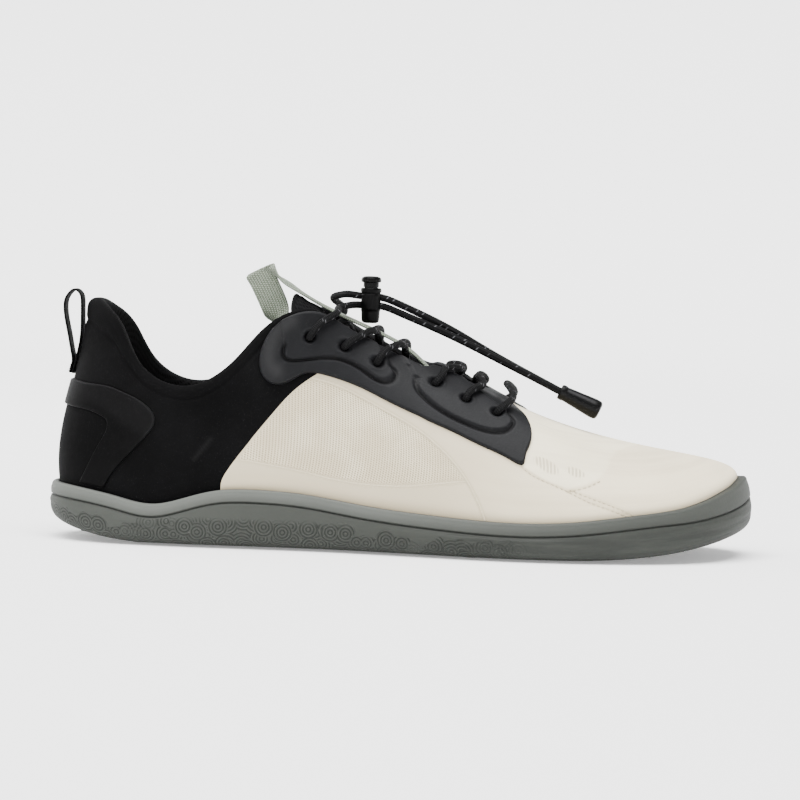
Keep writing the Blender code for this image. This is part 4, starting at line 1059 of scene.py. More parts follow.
def makeUpper():
    turn = turnsRound(upper["columns"])
    outer = np.concatenate([[-1.0, -0.2], np.linspace(0, 0.90, int(60 * fine)), np.linspace(0.91, 1.0, 8)])
    inner = np.concatenate([np.linspace(1.0, 0.9, 5), np.linspace(0.86, 0.05, int(26 * fine)), [-1.0]])
    rings, marks, ridgeHighlights = [], [], []
    for level in outer:
        points = upperFace(turn, level)
        # a painted highlight along each embossed ridge, laid as the ridge mark
        ridgeHighlights.append(0.45 * sum(bell(distanceToPath(points, path), 0.0008) for path in ridgePaths))
        lift = creaseLift(points) * ease((0.97 - level) / 0.1) * ease(level / 0.02)
        front = ease((0.5 - 0.5 * np.cos(turn) - 0.46) / 0.04) * ease((level + 0.05) / 0.05)
        trough = upper["trough"] * bell(level - upper["troughAt"], 0.012) * (1 - front)
        rings.append(upperOffset(turn, level, lift - upper["underVamp"] * front - trough))
        marks.append(np.zeros(len(turn)))
    # the roll over the collar's edge, from the outer face to the lining
    thick = upperThickness(turn, 1.0)
    out = upperNormal(turn, 1.0)
    edge = upperFace(turn, 1.0)
    along = unit(edge - upperFace(turn, 0.97))
    for bend in np.linspace(0, math.pi, 13)[1:-1]:
        share = 0.5 - 0.5 * math.cos(bend)
        rise = math.sin(bend) ** 0.8 * rollHeight(thick)
        rings.append(edge - out * (share * thick)[:, None] + along * rise[:, None])
        marks.append(np.full(len(turn), ease((share - 0.35) / 0.2)))
    for level in inner:
        rings.append(upperOffset(turn, level, -upperThickness(turn, level)))
        marks.append(np.ones(len(turn)))
    ridgeHighlights += [np.zeros(len(turn))] * (len(rings) - len(ridgeHighlights))
    run = np.interp(np.append(turn, fullTurn), girthTurns, girthLengths)
    marks = {"lining": np.array(marks).T, "ridge": np.array(ridgeHighlights).T}
    mesh = ringMesh("quarterAndCollar", np.array(rings), run, 0, marks)
    addPiece("quarterAndCollar", mesh, finishes["quarter"], stands=["upper"])


# Ivory front: border with the black rear, film edges and seams, on the upper's face
vamp = dict(columns=640, rows=104, backRows=18, lift=0.00010, film=0.00016, edgeRound=0.0007, trim=0.0016,
            highest=0.00042, sunk=0.0003, backLift=-0.0005,
            patches=[(0.748, 0.370, 0.014, 0.055), (0.784, 0.335, 0.012, 0.035)])
vampBorder = [
    (-0.16, 0.2525), (-0.051, 0.254), (0.116, 0.257), (0.236, 0.270), (0.360, 0.293), (0.498, 0.333),
    (0.600, 0.376), (0.658, 0.413), (0.700, 0.452), (0.780, 0.505), (0.880, 0.560), (0.985, 0.600),
]
seamLine = [
    (0.433, 0.673), (0.461, 0.626), (0.495, 0.570), (0.543, 0.505), (0.577, 0.423), (0.599, 0.313),
    (0.610, 0.199), (0.618, 0.086), (0.624, 0.000),
]
filmLine = [
    (0.284, 0.300), (0.300, 0.266), (0.330, 0.208), (0.377, 0.156), (0.416, 0.124), (0.455, 0.114),
    (0.498, 0.125), (0.543, 0.158), (0.606, 0.222),
]
toeSeam = [
    (0.707, 0.350), (0.715, 0.300), (0.733, 0.255), (0.751, 0.210), (0.772, 0.141), (0.795, 0.079),
    (0.822, 0.004),
]
toeSeamTwo = [
    (0.758, 0.214), (0.781, 0.155), (0.803, 0.095), (0.829, 0.012),
]
creamLine = [
    (0.000, 1.500), (0.685, 1.200), (0.692, 0.560), (0.707, 0.350), (0.733, 0.255), (0.756, 0.212),
    (0.782, 0.235), (0.806, 0.275), (0.840, 0.360), (0.880, 0.470), (0.930, 0.540), (1.000, 0.560),
]
toeBranch = [(0.754, 0.208), (0.782, 0.232), (0.806, 0.270)]
# each line, the depth that it is pressed in, and how strongly it darkens
vampLines = [(seamLine, 0.0, 1.0), (toeSeam, 0.00022, 0.35), (toeSeamTwo, 0.00018, 0.35),
             (toeBranch, 0.00018, 0.35), (filmLine, 0.0, 0.45)]


def borderTurn(up):
    levels = [row[0] for row in vampBorder]
    return spline(levels, [turnAt(row[1]) for row in vampBorder])(up)[..., 0]


def lineLevel(line, share):
    return np.interp(share, *zip(*line))


def knitMask(share, up):
    # 1 inside the knit panel between the border, the seam and the lower film
    seamAt = lineLevel([(level, at) for at, level in reversed(seamLine)], up)
    above = ease((up - lineLevel(filmLine, share)) / 0.020)
    top = lineLevel([(0.36, 0.58), (0.43, 0.655), (0.47, 0.70)], share)
    return ease((seamAt - share) / 0.006) * above * ease((top - up + 0.03) / 0.02)


def patchMask(share, up):
    # small open patches in the front panel
    total = 0.0
    for at, level, wide, high in vamp["patches"]:
        total = total + ease((1.15 - np.hypot((share - at) / wide, (up - level) / high)) / 0.3)
    return np.clip(total, 0, 1)


def makeVamp():
    columns, rows = int(vamp["columns"] * fine), int(vamp["rows"] * fine)
    levels = np.concatenate([[-0.15], np.linspace(-0.04, 0.985, rows)])
    shares = np.linspace(0, 1, columns)
    start = borderTurn(levels)
    turn = mix(start[None, :], fullTurn - start[None, :], shares[:, None])
    up = np.broadcast_to(levels[None, :], turn.shape)
    points = upperFace(turn, up)
    share = 0.5 - 0.5 * np.cos(turn)
    fromBorder = np.minimum(shares, 1 - shares)[:, None] * girthLengths[-1] * 0.7
    knit = knitMask(share, up) * ease((fromBorder - vamp["trim"]) / 0.0004)
    lift = vamp["lift"] + vamp["film"] * (1 - knit) + creaseLift(points) * ease((0.97 - up) / 0.05)
    shade = 2.0 * knit * (1 - knit)
    for line, depth, strength in vampLines:
        for path in bothSides(line, 24):
            near = bell(distanceToPath(points, path), 0.0007)
            lift = lift - depth * near
            shade = np.maximum(shade, strength * near)
    edge = roundEdge(fromBorder, vamp["edgeRound"])
    lift = np.minimum(lift, vamp["highest"]) * edge - vamp["sunk"] * (1 - edge)
    marks = {"knit": knit, "hatch": patchMask(share, up), "shade": shade,
             # foot: painted shade that darkens the cloth close to the sole's rim
             "cream": ease((up - lineLevel(creamLine, share)) / 0.02), "foot": bell(np.maximum(up, 0), 0.045)}
    back = [(turn[:, i], up[:, i]) for i in np.linspace(len(levels) - 1, 0, vamp["backRows"]).astype(int)]
    mesh = coverMesh("vampAndToe", turn, up, lift, back, vamp["backLift"], marks)
    addPiece("vampAndToe", mesh, finishes["vamp"])


def makeSeams():
    # raised film edges as fine beads, and the toe's stitch rows
    for name, line, profile in (("sideSeam", seamLine, softBox(0.00075, 0.00044, 3, 2.2)),
                                ("filmEdge", filmLine, softBox(0.00060, 0.00028, 3, 2.2))):
        for side, word in ((-1, "Lateral"), (1, "Medial")):
            points, normals = pathOnUpper(line, side, 0.00022, int(220 * fine))
            sides, faces = frameAlong(points, np.cross(normals, np.gradient(points, axis=0)))
            faces = faces * np.sign(np.sum(faces * normals, axis=1, keepdims=True))
            mesh = sweep(name + word, points, sides, faces, profile)
            addPiece(name + word, mesh, finishes["ivoryThread"])
    toeLines = (toeSeam, toeSeamTwo, toeBranch)
    rows = [pathOnUpper(line, side, 0.00022, 60) for line in toeLines for side in (-1, 1)]
    addStitches("toeStitches", rows, finishes["ivoryThread"], 0.0019, 0.0014, 0.00045)
    underFilm = [(at, up - 0.012) for at, up in filmLine[3:]]
    rows = [pathOnUpper(underFilm, side, 0.00026, 120) for side in (-1, 1)]
    addStitches("filmStitches", rows, finishes["ivoryThread"], 0.0017, 0.0009, 0.00030)


# Eyestay: station and height of its lower edge on the ribs, station of its upper edge
eyestay = dict(columns=420, thick=0.0013, rise=0.0009, groove=0.00085, grooveWidth=0.00060, lobe=0.0011,
               seat=0.00042, backLift=0.0002, eyeDip=0.0007, eyeRim=0.00025, eyeHole=0.0016, least=0.0003)
stayRows = [
    (0.398, 0.992, 0.413), (0.383, 0.968, 0.424), (0.370, 0.920, 0.430), (0.364, 0.850, 0.436),
    (0.367, 0.770, 0.442), (0.380, 0.710, 0.450), (0.400, 0.692, 0.460), (0.424, 0.703, 0.470),
    (0.447, 0.683, 0.482), (0.478, 0.641, 0.505), (0.517, 0.610, 0.535), (0.558, 0.565, 0.575),
    (0.578, 0.546, 0.597), (0.597, 0.528, 0.620), (0.638, 0.505, 0.665), (0.678, 0.440, 0.710),
    (0.698, 0.378, 0.745), (0.711, 0.362, 0.775), (0.727, 0.421, 0.800), (0.749, 0.493, 0.820),
    (0.785, 0.615, 0.850), (0.825, 0.745, 0.885), (0.880, 0.855, 0.925), (0.951, 0.924, 0.970),
    (1.000, 0.940, 1.000),
]
# Eyelets from the top: station, height, and the stations where the lace crosses the throat's edge
eyelets = [
    (0.450, 0.864, 0.498, 0.532), (0.502, 0.836, 0.555, 0.592), (0.553, 0.817, 0.602, 0.632),
    (0.653, 0.856, 0.757, 0.745), (0.700, 0.742, 0.845, 0.800), (0.745, 0.686, 0.930, 0.960),
]
# Grooves that outline the two raised islands, from the throat's edge round and back to it
islandOne = [
    (0.411, 0.878), (0.404, 0.836), (0.411, 0.789), (0.440, 0.761), (0.471, 0.754), (0.496, 0.750),
    (0.517, 0.732), (0.532, 0.702), (0.551, 0.700), (0.570, 0.741), (0.580, 0.794), (0.578, 0.831),
]
islandTwo = [
    (0.615, 0.819), (0.603, 0.746), (0.603, 0.695), (0.613, 0.650), (0.630, 0.621), (0.653, 0.601),
    (0.677, 0.566), (0.701, 0.541), (0.726, 0.556), (0.747, 0.601), (0.765, 0.654), (0.772, 0.710),
]
lobeRidge = [
    (0.428, 0.975), (0.402, 0.955), (0.387, 0.900), (0.382, 0.830), (0.388, 0.770),
]


def makeEyestay():
    read = spline(range(len(stayRows)), [(turnAt(at), up, turnAt(top)) for at, up, top in stayRows])
    half = read(np.linspace(0, len(stayRows) - 1, int(eyestay["columns"] * fine) // 2))
    half[-1, 0] = half[-1, 2] = math.pi
    table = np.vstack([half, half[-2::-1] * (-1, 1, -1) + (fullTurn, 0, fullTurn)])
    lowUp = np.clip(table[:, 1], 0.0, 0.99)[:, None]
    shares = np.concatenate([[0, 0.004, 0.010, 0.018, 0.028, 0.042], np.linspace(0.06, 0.95, int(72 * fine)),
                             [0.965, 0.978, 0.988, 0.995, 1.0]])[None, :]
    turn = mix(table[:, :1], table[:, 2:3], shares)
    up = mix(lowUp, 1.0, shares)
    base = upperFace(turn, up)
    fromLow = lengthsAlong(base, 1)
    fromTop = fromLow[:, -1:] - fromLow
    height = np.full(turn.shape, eyestay["thick"])
    grooves = np.zeros(turn.shape)
    lobeHighlight = np.zeros(turn.shape)
    for side in (-1, 1):
        for line in (islandOne, islandTwo):
            path = pathOnUpper(line, side, 0.0, 40)[0]
            far = distanceToPath(base, path)
            ends = np.minimum(np.linalg.norm(base - path[0], axis=2), np.linalg.norm(base - path[-1], axis=2))
            # the groove mask cuts the grooves and also paints their shade
            grooves = np.maximum(grooves, bell(far, eyestay["grooveWidth"]) * ease(ends / 0.003 + 0.35))
            height += eyestay["rise"] * insideIsland(turn, up, line, side, far)
        ridge = distanceToPath(base, pathOnUpper(lobeRidge, side, 0.0, 24)[0])
        height += eyestay["lobe"] * bell(ridge, 0.0042)
        # painted highlight along the lobe's ridge
        lobeHighlight = np.maximum(lobeHighlight, bell(ridge, 0.0030))
        for at, level, over, under in eyelets:
            centre = upperFace(onSide(at, side), level)
            far = np.linalg.norm(base - centre, axis=2)
            height -= eyestay["eyeDip"] * bell(far, 0.0022)
            height += eyestay["eyeRim"] * bell(far - 0.0031, 0.0007)
            # eyelet holes join the groove mark and are painted dark as shade
            grooves = np.maximum(grooves, 1 - ease((far - eyestay["eyeHole"]) / 0.0008))
    height -= eyestay["groove"] * grooves * ease((fromLow - 0.0005) / 0.001)
    ends = roundEdge(fromLow, 0.0011) * mix(0.35, 1.0, roundEdge(fromTop, 0.0013))
    height = np.maximum(height, eyestay["least"]) * ends + eyestay["seat"]
    back = [(mix(table[:, 0], table[:, 2], share), mix(lowUp[:, 0], 1.0, share))
            for share in np.linspace(1, 0, 5)]
    marks = {"groove": grooves, "lobe": lobeHighlight}
    mesh = coverMesh("eyestayOverlay", turn, up, height, back, eyestay["backLift"], marks)
    addPiece("eyestayOverlay", mesh, finishes["eyestay"], stands=["eyestay"])


def insideIsland(turn, up, line, side, far):
    # 1 on the throat's side of the groove, fading in over a millimetre
    corners = [(line[0][0], 1.2)] + line + [(line[-1][0], 1.2)]
    inside = insideShape(corners, 0.5 - 0.5 * np.cos(turn), up)
    return np.where(inside & (np.sin(turn) * side < 0), ease(far / 0.0012), 0.0)


# Heel counter: window's edge and outer edge, each a station and a height on the ribs
counter = dict(thick=0.0008, columns=181, seat=0.00035, backLift=0.0001)
counterRows = [
    (0.048, 0.030, 0.087, 0.030), (0.057, 0.110, 0.098, 0.130), (0.066, 0.200, 0.115, 0.260),
    (0.075, 0.293, 0.135, 0.399), (0.084, 0.380, 0.155, 0.551), (0.087, 0.440, 0.167, 0.656),
    (0.084, 0.475, 0.168, 0.738), (0.073, 0.482, 0.157, 0.785), (0.060, 0.482, 0.136, 0.782),
    (0.046, 0.478, 0.107, 0.726), (0.030, 0.468, 0.067, 0.660), (0.012, 0.455, 0.024, 0.618),
    (0.000, 0.450, 0.000, 0.605),
]


def makeCounter():
    read = spline(range(len(counterRows)), [(turnAt(a), b, turnAt(c), d) for a, b, c, d in counterRows])
    half = read(np.linspace(0, len(counterRows) - 1, counter["columns"] // 2))
    half[-1, 0] = half[-1, 2] = 0.0
    table = np.vstack([half, half[-2::-1] * (-1, 1, -1, 1)])
    shares = np.concatenate([[0, 0.01, 0.025, 0.05], np.linspace(0.08, 0.92, 26), [0.95, 0.975, 0.99, 1.0]])
    turn = mix(table[:, :1], table[:, 2:3], shares)
    up = mix(table[:, 1:2], table[:, 3:4], shares)
    run = lengthsAlong(upperFace(turn, up), 1)
    toOuter = run[:, -1:] - run
    lift = counter["seat"] + counter["thick"] * roundEdge(np.minimum(run, toOuter), 0.0009)
    # edge: painted highlight along the outer edge where it runs high
    marks = {"edge": bell(toOuter, 0.0007) * ease((table[:, 3:4] - 0.45) / 0.10),
             # arm: painted light on the counter's upper arm
             "arm": ease((up - 0.48) / 0.10)}
    back = [(turn[:, i], up[:, i]) for i in (-1, 20, 10, 0)]
    mesh = coverMesh("heelCounterFilm", turn, up, lift, back, counter["backLift"], marks)
    addPiece("heelCounterFilm", mesh, finishes["counter"], stands=["heel_counter"])


# Tongue: station, height as a share of the instep, half width and droop
tongue = dict(thick=0.0036, binding=0.0011, columns=41, quilt=0.00035, quiltPitch=0.011, roundStart=0.004)
tongueTable = [
    (0.3445, 1.062, 0.36, 0.055), (0.3490, 1.055, 0.45, 0.070), (0.3590, 1.038, 0.50, 0.080),
    (0.3770, 1.004, 0.53, 0.090), (0.4050, 0.932, 0.54, 0.100), (0.4600, 0.822, 0.54, 0.110),
    (0.5080, 0.754, 0.50, 0.120), (0.5430, 0.722, 0.46, 0.125), (0.5880, 0.675, 0.38, 0.115),
]


def tongueStations():
    # in metres, with two more rows where the tongue runs in under the vamp
    rows = [((at - 0.5) * shoe["length"], height * shoe["instepHeight"], half * shoe["throatWidth"],
             droop * shoe["instepHeight"]) for at, height, half, droop in tongueTable]
    for up, half, droop in ((0.985, 0.27, 0.030), (0.90, 0.22, 0.020)):
        under = upperOffset(math.pi, up, -(shoe["wall"] + shoe["gap"]))
        rows.append((under[0], under[2], half * shoe["throatWidth"], droop * shoe["instepHeight"]))
    return rows


def tongueLevel(x):
    rows = tongueStations()
    line = spline(range(len(rows)), rows)(np.linspace(0, len(rows) - 1, 101))
    return float(np.interp(x, line[:, 0], line[:, 1]))


def makeTongue():
    rows = tongueStations()
    stations = spline(range(len(rows)), rows)(np.linspace(0, len(rows) - 1, int(120 * fine)))
    slope = unit(np.gradient(stations[:, :2], axis=0))
    along = lengthsAlong(stations[:, :2])
    start = roundEdge(np.maximum(along, 0.02 * tongue["roundStart"]), tongue["roundStart"])
    across = np.sin(np.linspace(-1, 1, tongue["columns"]) * math.pi / 2)
    grid, uv = [], []
    for (x, z, half, droop), (dx, dz), full, run in zip(stations, slope, start, along):
        down = np.array([dz, 0.0, -dx])
        quilt = tongue["quilt"] * np.cos(run / tongue["quiltPitch"] * fullTurn) * (1 - across ** 4)
        puff = full * tongue["thick"] * (1 - 0.80 * np.abs(across) ** 5)
        middle = np.stack([np.full(len(across), x), across * half, z - droop * across ** 2], -1)
        middle = middle + down * tongue["thick"] / 2
        top = middle - down * (puff / 2 + quilt * full)[:, None]
        low = middle + down * (puff / 2)[:, None]
        ring = np.vstack([top, low[::-1]])
        grid.append(ring)
        girth = lengthsAlong(np.vstack([ring, ring[:1]]))
        uv.append(np.stack([np.full(len(girth), run), girth], -1))
    mesh = gridMesh("tonguePad", np.array(grid), np.array(uv))
    piece = addPiece("tonguePad", mesh, finishes["tongue"], stands=["tongue"])
    # binding up one edge, over the top and down the other
    edge = [(x, half * 0.985, z - droop * 0.97 - tongue["thick"] * 0.45)
            for x, z, half, droop in stations[2:-14]]
    x, z, half, droop = stations[1]
    top = [(x - 0.0002, y, z - droop * (y / half) ** 2 - 0.0012)
           for y in np.linspace(-1, 1, 13)[1:-1] * stations[2, 2] * 0.92]
    rim = np.vstack([np.array(edge)[::-1] * (1, -1, 1), top, edge])
    mesh = tubeMesh("tongueBinding", smoothLine(rim[::3], int(260 * fine)), tongue["binding"], 10)
    addPiece("tongueBinding", mesh, finishes["tape"])


# Strap: station, height, then the half width's direction towards its medial or rear edge
strap = dict(width=0.0112, thick=0.0011, rib=0.00105, ribHeight=0.00010)
strapTable = [
    (0.5430, 0.7400, 0.00, 1.00, 0.00), (0.5080, 0.8320, 0.00, 1.00, 0.00),
    (0.4570, 0.9130, 0.00, 1.00, 0.00), (0.3920, 0.9980, 0.00, 1.00, 0.00),
    (0.3490, 1.0680, 0.00, 1.00, 0.00), (0.3220, 1.1200, 0.00, 1.00, 0.00),
    (0.3110, 1.1420, -0.30, 0.92, -0.10), (0.3015, 1.1560, -0.62, 0.62, -0.28),
    (0.2940, 1.1590, -0.86, 0.26, -0.42), (0.2895, 1.1500, -0.90, 0.00, -0.44),
    (0.2915, 1.1330, -0.90, 0.00, -0.44), (0.2977, 1.1020, -0.90, 0.00, -0.43),
    (0.3034, 1.0680, -0.90, 0.00, -0.43), (0.3092, 1.0320, -0.90, 0.00, -0.42),
    (0.3145, 0.9950, -0.90, 0.08, -0.38), (0.3180, 0.9650, -0.82, 0.45, -0.25),
    (0.3210, 0.9350, -0.45, 0.88, -0.05), (0.3265, 0.9080, 0.00, 1.00, 0.00),
    (0.3390, 0.8950, 0.00, 1.00, 0.00), (0.3540, 0.8895, 0.00, 1.00, 0.00),
    (0.3720, 0.8840, 0.00, 1.00, 0.00),
]


def makeStrap():
    rows = [((at - 0.5) * shoe["length"], 0.0, height * shoe["instepHeight"], a, b, c)
            for at, height, a, b, c in strapTable]
    seat = shoe["gap"] + strap["thick"] / 2
    rows[0] = (rows[0][0], 0.0, tongueLevel(rows[0][0]) + 1.3 * seat, 0.0, 1.0, 0.0)
    table = smoothLine(rows, int(420 * fine))
    centres, widths = table[:, :3], table[:, 3:]
    faces = unit(np.cross(unit(np.gradient(centres, axis=0)), widths))
    profile = softBox(strap["width"], strap["thick"], 14, 5.0)
    ribs = strap["ribHeight"] * np.cos(profile[:, 0] / strap["rib"] * fullTurn) * np.sign(profile[:, 1])
    profile[:, 1] += ribs * (np.abs(profile[:, 0]) < strap["width"] * 0.46)
    mesh = sweep("pullStrap", centres, widths, faces, profile)
    addPiece("pullStrap", mesh, finishes["webbing"], stands=["tongue_strap"])
    # two rows of stitches where the strap ends on the tongue
    rows = []
    steps = slice(4, int(44 * fine))
    for across in (-0.30, 0.30):
        line = centres[steps] + widths[steps] * across * strap["width"] + faces[steps] * strap["thick"] * 0.5
        rows.append((line, faces[steps]))
    addStitches("strapStitches", rows, finishes["sageThread"], 0.0019, 0.0014, 0.0005)


# Heel loop: station, and height as a share of the collar's
loop = dict(width=0.0095, thick=0.0009)
loopTable = [
    (0.0255, 0.7750), (0.0212, 0.8392), (0.0163, 0.9050), (0.0143, 0.9500), (0.0152, 0.9850),
    (0.0199, 1.0117), (0.0284, 1.0285), (0.0355, 1.0150), (0.0388, 0.9728), (0.0393, 0.8916),
    (0.0377, 0.8102),
]


def makeLoop():
    innerLift = shoe["gap"] + loop["thick"] / 2
    outerLift = innerLift + loop["thick"] + shoe["gap"]
    route = [upperOffset(0.0, up, outerLift) for up in (0.635, 0.665, 0.700)]
    route += [((at - 0.5) * shoe["length"], 0.0, height * shoe["collarHeight"]) for at, height in loopTable]
    route += [upperOffset(0.0, up, innerLift) for up in (0.740, 0.690, 0.635)]
    centres = smoothLine(route, int(300 * fine))
    centres[:, 1] = 0.0
    sides, faces = frameAlong(centres, np.tile([0.0, 1.0, 0.0], (len(centres), 1)))
    mesh = sweep("heelTape", centres, sides, faces, softBox(loop["width"], loop["thick"], 10, 5.0))
    addPiece("heelTape", mesh, finishes["tape"], stands=["heel_loop"])
    rows = []
    for up in (0.645, 0.657, 0.669, 0.681):
        centre = upperOffset(0.0, up, outerLift + loop["thick"] * 0.55)
        line = np.array([centre + (0.0, y, 0.0) for y in np.linspace(-0.0038, 0.0038, 12)])
        rows.append((line, np.tile(upperNormal(0.0, up), (12, 1))))
    addStitches("loopTack", rows, finishes["darkThread"], 0.0010, 0.0009, 0.00045)


# Lacing
lace = dict(diameter=0.0029, stand=0.0027, steps=110, sides=14, hidden=0.0016)
laceRadius = lace["diameter"] / 2
laceStand = lace["stand"] + shoe["gap"] + laceRadius
overSteps = ((0.18, 0.0001), (0.5, 0.0002), (1.0, 0.0002))
barSteps = ((0.15, 0.0001), (0.32, 0.0005), (0.56, 0.0013))


def overEdge(row, side, steps=overSteps):
    # out of the eyelet and up over the throat's edge; a step is a share of that way and an extra lift
    at, up, over = row[:3]
    places = ((0.0, -lace["hidden"]), (0.03, laceStand - lace["hidden"]))
    places += tuple((share, laceStand + extra) for share, extra in steps)
    return [upperOffset(onSide(mix(at, over, share), side), mix(up, 1.0, share), lift)
            for share, lift in places]


def strandRoute(index, side):
    # from its own eyelet over the tongue and in under the other side's edge
    row = eyelets[index]
    sink = shoe["wall"] + 2 * shoe["gap"] + laceRadius
    route = overEdge(row, side) if index else [upperOffset(onSide(row[2], side), 0.95, -sink)]
    far = upperOffset(onSide(row[3], -side), 0.95, -sink)
    x = (route[-1][0] + far[0]) / 2
    lowest = tongueLevel(x) + laceRadius + 3 * shoe["gap"]
    level = max(lowest, (route[-1][2] + far[2]) / 2)
    route.append(np.array([x, 0.0, level + (0.0007 if side < 0 else -0.0003)]))
    route.append(far)
    return route


def makeLaces():
    for index in range(len(eyelets) - 1):
        routes = [smoothLine(strandRoute(index, side), int(lace["steps"] * fine)) for side in (-1, 1)]
        name = "laceCrossing%d" % (index + 1)
        mesh = joined(name, [tubeMesh("strand", centres, laceRadius, lace["sides"]) for centres in routes])
        addPiece(name, mesh, finishes["lace"], stands=["lace_crossing_%d" % (index + 1)])
    # the bar between the front eyelets, in one arch
    lateral, medial = (overEdge(eyelets[-1], side, barSteps) for side in (-1, 1))
    crown = upperOffset(math.pi, 0.965, laceStand + 0.0018)
    centres = smoothLine(lateral + [crown] + medial[::-1], int(1.6 * lace["steps"] * fine))
    mesh = tubeMesh("laceBarCord", centres, laceRadius, lace["sides"])
    addPiece("laceBarCord", mesh, finishes["lace"], stands=["lace_bar"])


def joined(name, meshes):
    bm = bmesh.new()
    for mesh in meshes:
        bm.from_mesh(mesh)
        bpy.data.meshes.remove(mesh)
    made = bpy.data.meshes.new(name)
    bm.to_mesh(made)
    bm.free()
    made.shade_smooth()
    return made


# Free cords, through the lock to the cord end: station, side and height as shares
cords = dict(lockAt=0.450, lockLevel=1.0385, endLength=0.0180, endDiameter=0.0080)
lateralRoute = [
    (0.4080, -0.240, 1.0060), (0.4200, -0.090, 1.0170), (0.4320, -0.006, 1.0205), (0.4440, 0.000, 1.0200),
    (0.4560, 0.000, 1.0200), (0.4680, 0.000, 1.0155), (0.4880, -0.006, 0.9950), (0.5200, -0.014, 0.9570),
    (0.5640, -0.030, 0.9030), (0.6100, -0.032, 0.8400), (0.6550, -0.031, 0.7760), (0.6900, -0.030, 0.7260),
    (0.7220, -0.029, 0.6790),
]
medialRoute = [
    (0.3930, 0.270, 1.0420), (0.4060, 0.110, 1.0600), (0.4190, 0.020, 1.0640), (0.4320, 0.000, 1.0600),
    (0.4440, 0.000, 1.0570), (0.4560, 0.000, 1.0570), (0.4680, 0.000, 1.0520), (0.4880, 0.004, 1.0310),
    (0.5200, 0.012, 0.9900), (0.5640, 0.028, 0.9280), (0.6100, 0.032, 0.8520), (0.6550, 0.032, 0.7800),
    (0.6900, 0.030, 0.7270), (0.7220, 0.029, 0.6790),
]
cordEndTo = (0.7810, 0.000, 0.5960)
# Cap from its mouth to its tip: shares of its half diameter and of its length
capProfile = [
    (0.00, 0.000), (0.70, 0.000), (0.79, 0.030), (0.80, 0.100), (0.74, 0.140), (0.78, 0.240), (0.88, 0.520),
    (0.97, 0.760), (1.00, 0.860), (0.95, 0.960), (0.70, 0.995), (0.00, 1.000),
]


def cordPlace(row):
    at, side, height = row
    return np.array([(at - 0.5) * shoe["length"], side * shoe["ballWidth"] / 2, height * shoe["instepHeight"]])


def turnedMesh(name, profile, segments, place, direction=(0.0, 0.0, 1.0)):
    # a closed profile of (radius, height) turned round the direction
    angles = np.arange(segments) * fullTurn / segments
    profile = np.array(profile)
    radius, height = np.broadcast_to(profile, (segments, *profile.shape)).transpose(2, 0, 1)
    grid = np.stack([radius * np.cos(angles)[:, None], radius * np.sin(angles)[:, None], height], -1)
    spin = np.array(Vector(direction).to_track_quat("Z", "Y").to_matrix())
    grid = grid @ spin.T + np.asarray(place)
    run = lengthsAlong(profile)
    uv = np.stack(np.meshgrid(np.append(angles, fullTurn) * profile[:, 0].max(), run, indexing="ij"), -1)
    uv = np.concatenate([uv, uv[:, -1:]], 1)
    return gridMesh(name, grid, uv, closeRows=True, closeCols=False, weld=1e-6)


def rounded(points, radius, steps):
    # turns the inner corners of a profile into short curves
    made = [points[0]]
    for before, corner, after in zip(points, points[1:], points[2:]):
        before, corner, after = np.array(before), np.array(corner), np.array(after)
        reach = min(radius, np.linalg.norm(before - corner) * 0.45, np.linalg.norm(after - corner) * 0.45)
        a = corner + unit(before - corner) * reach
        b = corner + unit(after - corner) * reach
        for t in np.linspace(0, 1, steps):
            made.append((1 - t) ** 2 * a + 2 * t * (1 - t) * corner + t * t * b)
    made.append(points[-1])
    return [tuple(map(float, p)) for p in made]


def makeCords():
    pieces = []
    for name, node, side, route in (("cordLateral", "cord_lateral", -1, lateralRoute),
                                    ("cordMedial", "cord_medial", 1, medialRoute)):
        points = overEdge(eyelets[0], side) + [cordPlace(row) for row in route]
        path = smoothLine(points, int(360 * fine))
        mesh = tubeMesh(name, path, laceRadius, 16)
        piece = addPiece(name, mesh, finishes["lace"], stands=[node])
        pieces.append((piece, path))
    start = (cordPlace(lateralRoute[-1]) + cordPlace(medialRoute[-1])) / 2
    direction = unit(cordPlace(cordEndTo) - start)
    half, long = cords["endDiameter"] / 2, cords["endLength"]
    profile = [(half * across, long * along) for across, along in capProfile]
    mesh = turnedMesh("cordEndCap", rounded(profile, 0.0009, 6), int(48 * fine) + 8, start, direction)
    cap = addPiece("cordEndCap", mesh, finishes["cap"], stands=["cord_end"])
    for piece, path in pieces:
        float(lengthsAlong(path)[-1])


# Cord lock: barrel with a slot for both cords, and the sprung button
lock = dict(diameter=0.0084, wall=0.00075, height=0.0142, foot=0.0055, button=0.0048, head=0.0025,
            travel=0.0020, spacing=0.0035)


def slotCut(piece, width, low, high, x):
    # opens the slot for the cords, along the shoe
    bm = bmesh.new()
    bmesh.ops.create_cube(bm, size=1.0)
    bmesh.ops.scale(bm, vec=(3 * lock["diameter"], width, high - low), verts=bm.verts)
    bmesh.ops.translate(bm, vec=(x, 0.0, (low + high) / 2), verts=bm.verts)
    mesh = bpy.data.meshes.new("slot")
    bm.to_mesh(mesh)
    bm.free()
    cutter = newObject("slot", mesh)
    cut = piece.modifiers.new("slot", "BOOLEAN")
    cut.operation = "DIFFERENCE"
    cut.solver = "EXACT"
    cut.object = cutter
    made = plainMesh(piece)
    piece.modifiers.clear()
    piece.data = made
    bpy.data.objects.remove(cutter, do_unlink=True)
    made.set_sharp_from_angle(angle=math.radians(35))


